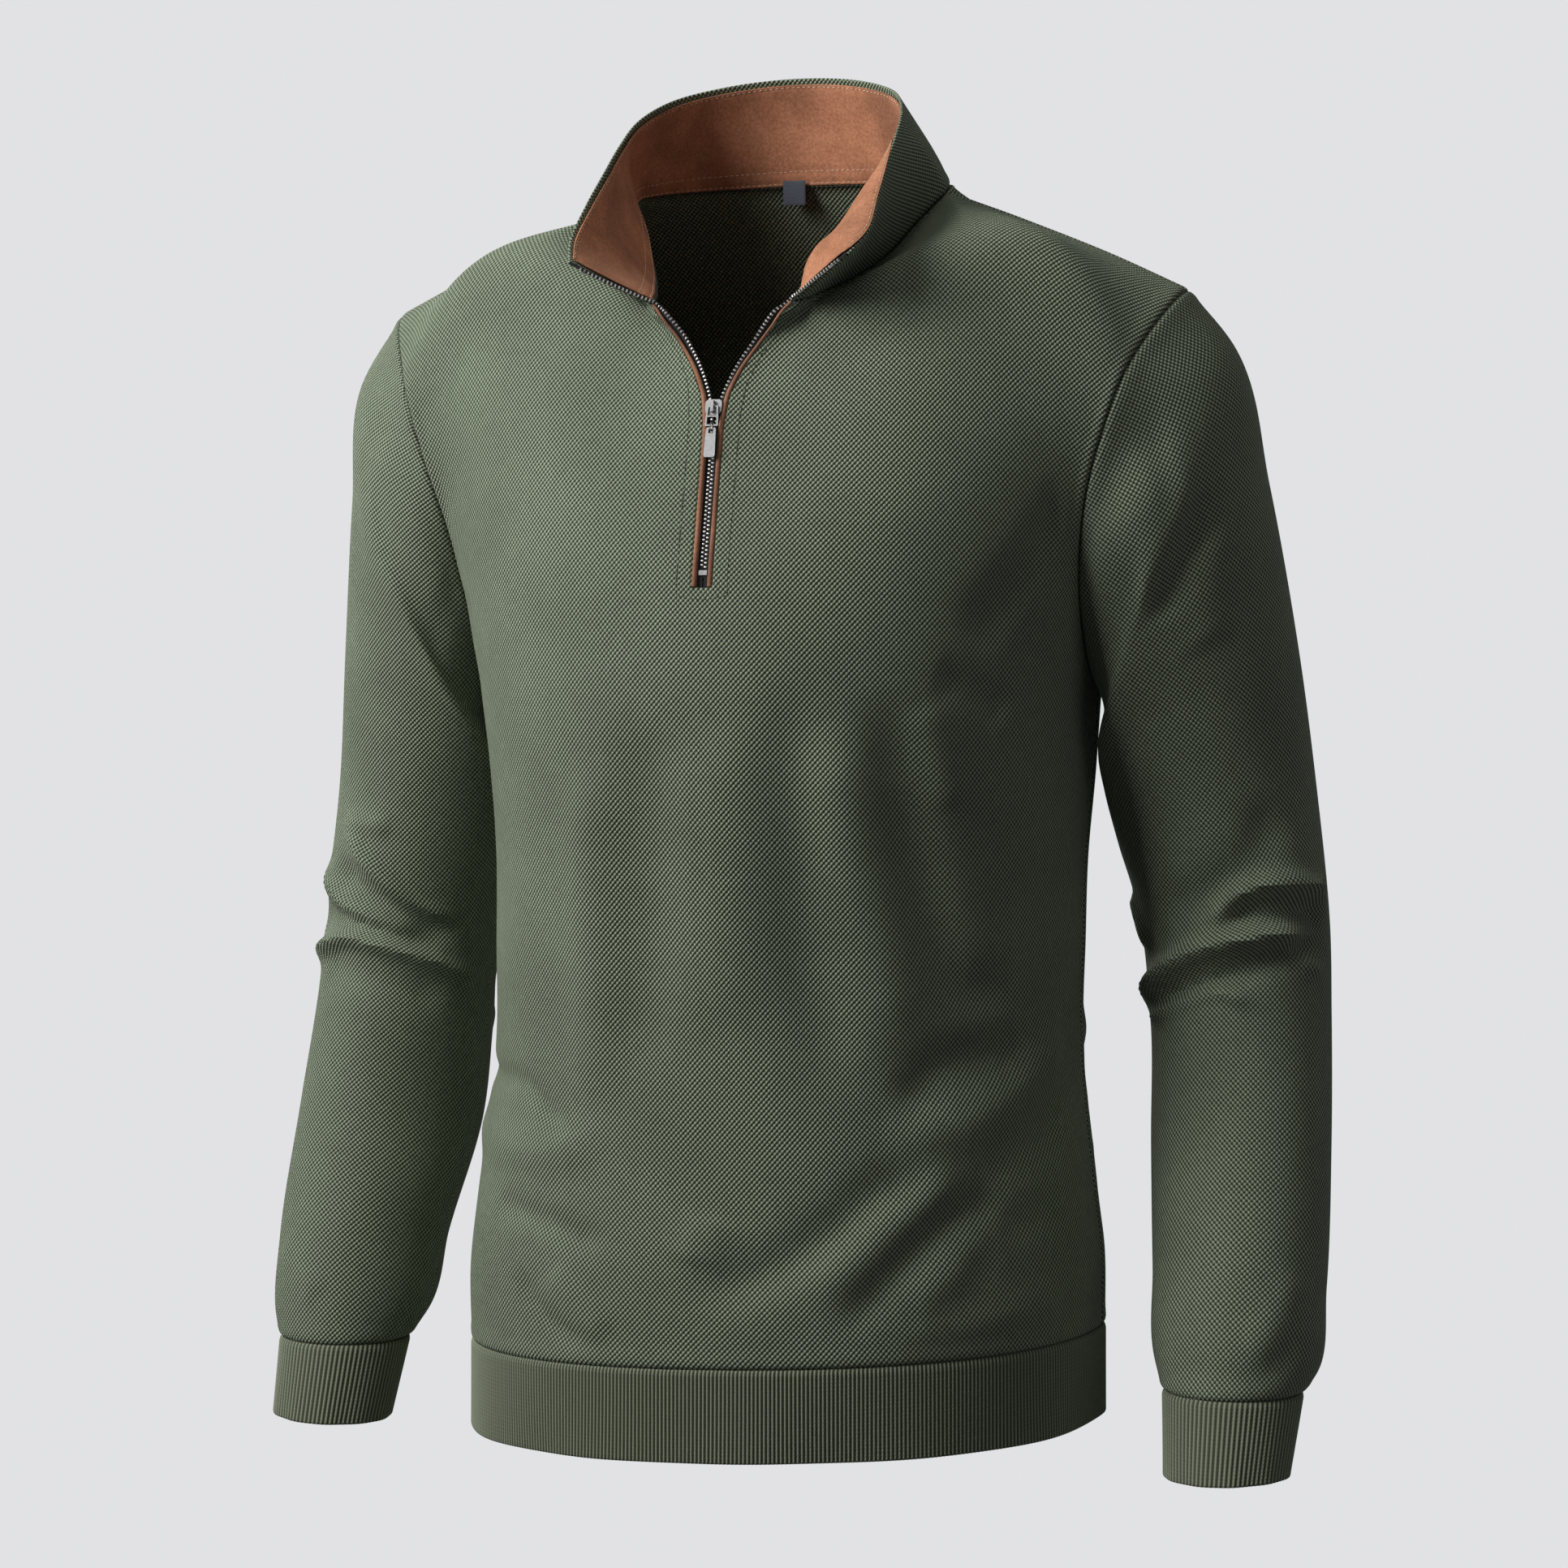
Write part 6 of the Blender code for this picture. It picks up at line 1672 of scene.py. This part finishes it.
# ------------------------------------------------------------------ zip
@dataclass(frozen=True)
class Zip:
    """Tapes, teeth and piping beside the opening, and the metal pieces on them.

    A reach is how far the tape stands out past the cloth's edge: in the closed zip, in the open V
    and along the collar. A change holds how far below the neck seam it starts, and its run. The cord
    on the tape's inner edge holds its height, its share of the way across and its width.
    """

    collar: CollarForm
    finishes: Finishes
    steps: int = 150
    reaches: tuple[float, float, float] = (0.0054, 0.0047, 0.0019)
    closed_z: float = -0.138
    tape_tuck: float = 0.0066
    tape_depth: float = 0.0023
    tape_cloth: float = 0.0008
    collar_depth: float = 0.0016
    foot_clearance: float = 0.0008
    open_run: float = 0.015
    thin_run: float = 0.055
    reach_change: tuple[float, float] = (0.020, 0.026)
    depth_change: tuple[float, float] = (0.010, 0.016)
    tuck_change: tuple[float, float] = (0.016, 0.010)
    cord: tuple[float, float, float] = (0.0003, 0.96, 0.05)
    smoothing: int = 20
    pitch: float = 0.0023
    tooth: tuple[float, float, float] = (0.00165, 0.00105, 0.0018)
    tooth_inset: float = 0.00065
    piping_radius: float = 0.00145
    piping_thin: float = 0.00075
    piping_sides: int = 12
    piping_seat: tuple[float, float] = (0.95, 0.6)
    piping_end: float = 0.0015
    teeth_foot_z: float = -0.2200
    teeth_end: float = 0.0050
    tooth_raise: float = 0.0002
    tooth_bevel: float = 0.00030
    metal_bevel: float = 0.00022
    collar_top: float = 0.985
    panel_samples: int = 60
    collar_samples: int = 24
    edge_samples: int = 240

    def edge(self, side: float) -> tuple[Array, Array, Array, Array]:
        """Return the cloth's edge beside the zip.

        Args:
            side: 1 on the +X side, -1 on the other.

        Returns:
            Points up the edge, outward normals, the ways to the zip and the walk past the neck seam.
        """
        torso = self.collar.torso
        places = np.linspace(torso.slit_foot + self.foot_clearance, torso.top, self.panel_samples)
        shares = side * torso.slit_share(places)
        panel = torso.surface(shares, places, True)
        rises = np.linspace(0.0, self.collar_top, self.collar_samples)
        turns = side * np.array([1.0, 0.99])
        strip = self.collar.grid(turns, rises)
        out = -grid_normals(strip)[:, 0] * side
        points = np.vstack([panel, strip[1:, 0]])
        normals = np.vstack([torso.normal(shares, places, True), -out[1:]])
        walk = walked(points)
        nick = walk[len(places) - 1]
        fine = np.linspace(0.0, walk[-1], self.edge_samples)
        normals = sampled(normals, walk, fine)
        points = sampled(points, walk, fine)
        for _ in range(self.smoothing):
            normals[1:-1] = unit(normals[:-2] + normals[1:-1] + normals[2:])
            points[1:-1] = (points[:-2] + points[1:-1] + points[2:]) / 3.0
        ahead = unit(np.gradient(points, axis=0))
        inward = unit(np.cross(normals, ahead)) * side
        outward = unit(np.cross(ahead, inward)) * side
        pick = np.linspace(0.0, len(fine) - 1.0, self.steps + 1)
        rows = np.arange(len(fine))
        picked = [sampled(item, rows, pick) for item in (points, unit(outward), unit(inward))]
        return picked[0], unit(picked[1]), unit(picked[2]), np.interp(pick, rows, fine - nick)

    @staticmethod
    def after(past: Array, change: tuple[float, float]) -> Array:
        """Return how far a change below the neck seam has gone, from 0 to 1."""
        return ease((past + change[0]) / change[1])

    def reach(self, edge: Array, past: Array) -> Array:
        """Return how far the tape stands out past the cloth's edge at each of its points."""
        closed, opened, beside_collar = self.reaches
        reach = closed + (opened - closed) * ease((edge[:, 2] - self.closed_z) / self.open_run)
        return reach + (beside_collar - reach) * self.after(past, self.reach_change)

    def depth(self, past: Array) -> Array:
        """Return how deep the tape lies under the cloth's face."""
        change = self.collar_depth - self.tape_depth
        return self.tape_depth + change * self.after(past, self.depth_change)

    def tape(self, side: Side) -> None:
        """Build one tape, tucked under the cloth's edge, with a corded inner edge."""
        edge, outward, inward, past = self.edge(side.value)
        across = np.linspace(0.0, 1.0, 13)
        reach = self.reach(edge, past)
        start = -self.tape_tuck * (1.0 - self.after(past, self.tuck_change))
        shares = start[:, None] + (reach - start)[:, None] * across
        high, middle, wide = self.cord
        cord = high * np.exp(-((across - middle) / wide) ** 2)
        depth = self.depth(past)[:, None] - cord
        points = edge[:, None] + inward[:, None] * shares[..., None] - outward[:, None] * depth[..., None]
        normals = np.repeat(outward[:, None], len(across), axis=1)
        up = np.repeat(walked(edge)[:, None], len(across), axis=1)
        grid = ClothGrid(points, normals, self.tape_cloth, np.stack([shares, up], axis=-1))
        name = "zip_tape_" + side.word
        piece = fitted(grid.build(name + "_cloth", self.finishes.tape), "tape", name)
        grid.cut()[1]

    def teeth(self, side: Side) -> None:
        """Build one side's teeth, gripped on the tape's inner edge and set half a pitch from the other."""
        edge, outward, inward, past = self.edge(side.value)
        inset = (self.reach(edge, past) - self.tooth_inset)[:, None]
        sunk = (self.depth(past) + 0.5 * self.tape_cloth - self.tooth_raise)[:, None]
        line = edge + inward * inset - outward * sunk
        walk = walked(line)
        start = float(np.interp(self.teeth_foot_z, line[:, 2], walk))
        offset = 0.0 if side is Side.LEFT else 0.5 * self.pitch
        mesh = bmesh.new()
        for place in np.arange(start + offset, walk[-1] - self.teeth_end, self.pitch):
            spot, out, across = (sampled(item, walk, place) for item in (line, outward, inward))
            ways = (unit(across), unit(np.cross(out, across)) * side.value, unit(out))
            axes = [way * size for way, size in zip(ways, self.tooth)]
            bmesh.ops.create_cube(mesh, size=1.0, matrix=placed(spot, axes))
        bmesh.ops.bevel(mesh, geom=mesh.edges[:], offset=self.tooth_bevel, segments=2, profile=0.5,
                        affect="EDGES", material=-1)
        fitted(finished("zip_teeth_" + side.word, mesh, self.finishes.teeth, 40.0), "metal")

    def piping(self, side: Side) -> None:
        """Lay the suede piping beside the panel's edge, thinner towards the neck seam, where it ends."""
        edge, outward, inward, past = self.edge(side.value)
        count = int(np.argmax(past > -self.piping_end))
        thin = ease((edge[:, 2] - self.closed_z) / self.thin_run)
        radius = (self.piping_radius + (self.piping_thin - self.piping_radius) * thin)[:, None]
        aside, under = self.piping_seat
        route = edge + inward * radius * aside - outward * radius * under
        turns = (2.0 * math.pi * np.arange(self.piping_sides + 1) / self.piping_sides)[:, None]
        rings = [route[row] + radius[row] * (inward[row] * np.cos(turns) + outward[row] * np.sin(turns))
                 for row in range(count + 1)]
        mesh = bmesh.new()
        lay(mesh, np.stack(rings))
        bmesh.ops.remove_doubles(mesh, verts=mesh.verts[:], dist=1e-6)
        bmesh.ops.holes_fill(mesh, edges=[edge for edge in mesh.edges if edge.is_boundary], sides=0)
        name = "piping_" + side.word
        fitted(finished(name + "_suede", mesh, self.finishes.piping), "suede", name)

    def build(self) -> None:
        """Build both sides, and dress the metal pieces."""
        for side in Side:
            self.tape(side)
            self.teeth(side)
            self.piping(side)
        for node in ("zip_slider", "pull_link", "pull_ring", "pull_tab", "bottom_stop",
                     "top_stop_left", "top_stop_right"):
            self.dress(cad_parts[node])

    def dress(self, piece: bpy.types.Object) -> None:
        """Give a metal piece its finish and softened edges."""
        piece.data.materials.clear()
        piece.data.materials.append(self.finishes.metal)
        bevel = piece.modifiers.new("softened", "BEVEL")
        bevel.width = self.metal_bevel
        bevel.segments = 3
        bevel.limit_method = "ANGLE"
        bevel.angle_limit = math.radians(40.0)
        bevel.harden_normals = True


# ------------------------------------------------------------------ studio
@dataclass(frozen=True)
class SoftLight:
    """A square lamp aimed at the garment; its azimuth runs from the front towards +X."""

    name: str
    azimuth: float
    height: float
    distance: float
    size: float
    power: float
    colour: tuple[float, float, float] = (1.0, 1.0, 1.0)
    aim: tuple[float, float, float] = (0.0, 0.0, -0.32)
    spread: float = 180.0

    def build(self) -> None:
        """Hang the lamp."""
        data = bpy.data.lights.new(self.name, "AREA")
        data.shape = "SQUARE"
        data.size = self.size
        data.energy = self.power
        data.color = self.colour
        data.spread = math.radians(self.spread)
        lamp = bpy.data.objects.new(self.name, data)
        turn = math.radians(self.azimuth)
        lamp.location = (self.distance * math.sin(turn), -self.distance * math.cos(turn), self.height)
        aim = Vector(self.aim) - lamp.location
        lamp.rotation_euler = aim.to_track_quat("-Z", "Y").to_euler()
        bpy.context.scene.collection.objects.link(lamp)


@dataclass(frozen=True)
class Studio:
    """Camera, soft lights and a plain pale dish that is floor and backdrop in one.

    The sweep holds how far out and up each step of the dish's rim goes.
    """

    azimuth: float = 18.0
    distance: float = 2.07
    sideways: float = 0.005
    camera_z: float = -0.2663
    lens: float = 84.19
    shift_y: float = -0.0828
    floor_z: float = -1.30
    floor_radius: float = 4.0
    sweep: Table = ((0.30, 0.03), (0.28, 0.12), (0.22, 0.22), (0.12, 0.28), (0.03, 0.30), (0.0, 3.5))
    pale: tuple[float, float, float] = (0.760, 0.760, 0.783)
    lights: tuple[SoftLight, ...] = (
        SoftLight("key", -50.0, 0.95, 2.0, 1.5, 22.5, aim=(0.0, 0.0, 0.12), spread=100.0),
        SoftLight("fill", 62.0, 0.30, 2.8, 1.8, 4.2),
        SoftLight("top", 30.0, 2.00, 0.5, 1.2, 7.0),
        SoftLight("back", -140.0, 0.60, 2.6, 1.6, 26.0),
    )
    ambient: float = 0.050

    def build(self) -> None:
        """Set up the camera, the lights, the world and the dish."""
        self.camera()
        for light in self.lights:
            light.build()
        world = bpy.data.worlds.new("soft surroundings")
        world.use_nodes = True
        world.node_tree.nodes["Background"].inputs["Color"].default_value = (1.0, 1.0, 1.0, 1.0)
        world.node_tree.nodes["Background"].inputs["Strength"].default_value = self.ambient
        bpy.context.scene.world = world
        bpy.context.scene.view_settings.view_transform = "Standard"
        self.dish()

    def camera(self) -> None:
        """Place the camera."""
        turn = math.radians(self.azimuth)
        data = bpy.data.cameras.new("camera")
        data.lens = self.lens
        data.sensor_width = 36.0
        data.shift_y = self.shift_y
        camera = bpy.data.objects.new("camera", data)
        camera.location = (self.distance * math.sin(turn) + self.sideways * math.cos(turn),
                           -self.distance * math.cos(turn) + self.sideways * math.sin(turn), self.camera_z)
        camera.rotation_euler = (math.radians(90.0), 0.0, turn)
        bpy.context.scene.collection.objects.link(camera)
        bpy.context.scene.camera = camera

    def dish(self) -> None:
        """Build the dish: a round floor whose rim sweeps up into a wall."""
        mesh = bmesh.new()
        bmesh.ops.create_circle(mesh, cap_ends=True, segments=96, radius=self.floor_radius)
        rim = [edge for edge in mesh.edges if edge.is_boundary]
        for out, up in self.sweep:
            grown = bmesh.ops.extrude_edge_only(mesh, edges=rim)["geom"]
            rim = [item for item in grown if isinstance(item, bmesh.types.BMEdge)]
            for vert in (item for item in grown if isinstance(item, bmesh.types.BMVert)):
                reach = math.hypot(vert.co.x, vert.co.y)
                vert.co.x *= (reach + out) / reach
                vert.co.y *= (reach + out) / reach
                vert.co.z += up
        bmesh.ops.translate(mesh, vec=(0.0, 0.0, self.floor_z), verts=mesh.verts[:])
        bmesh.ops.recalc_face_normals(mesh, faces=mesh.faces[:])
        data = bpy.data.meshes.new("studio_dish")
        mesh.to_mesh(data)
        mesh.free()
        graph = Graph("pale floor")
        data.materials.append(graph.finish(Base_Color=(0.0, 0.0, 0.0, 1.0), Roughness=1.0,
                                           Specular_IOR_Level=0.0, Emission_Color=rgba(self.pale),
                                           Emission_Strength=1.0))
        data.shade_smooth()
        dish = bpy.data.objects.new("studio_dish", data)
        dish.visible_diffuse = False
        dish.visible_transmission = False
        dish.visible_shadow = False
        bpy.context.scene.collection.objects.link(dish)


def main() -> None:
    """Build the studio and every piece of the sweater in order."""
    logging.basicConfig(level=logging.INFO, format="%(name)s %(message)s")
    Studio().build()
    finishes = Finishes()
    torso = TorsoForm()
    sleeve = SleeveForm(torso)
    collar = CollarForm(torso)
    sewn = [Body(torso, finishes),
            Sleeve(sleeve, finishes, Side.LEFT, LEFT_SLEEVE_CREASES),
            Sleeve(sleeve, finishes, Side.RIGHT, RIGHT_SLEEVE_CREASES),
            Collar(collar, finishes)]
    seams = Seams()
    for part in sewn:
        seams.grids.update(part.cloths())
    seams.join()
    for part in sewn:
        part.build(seams)
    Bands(torso, sleeve, finishes).build()
    NeckLabel(finishes).build()
    Zip(collar, finishes).build()


if __name__ == "__main__":
    main()
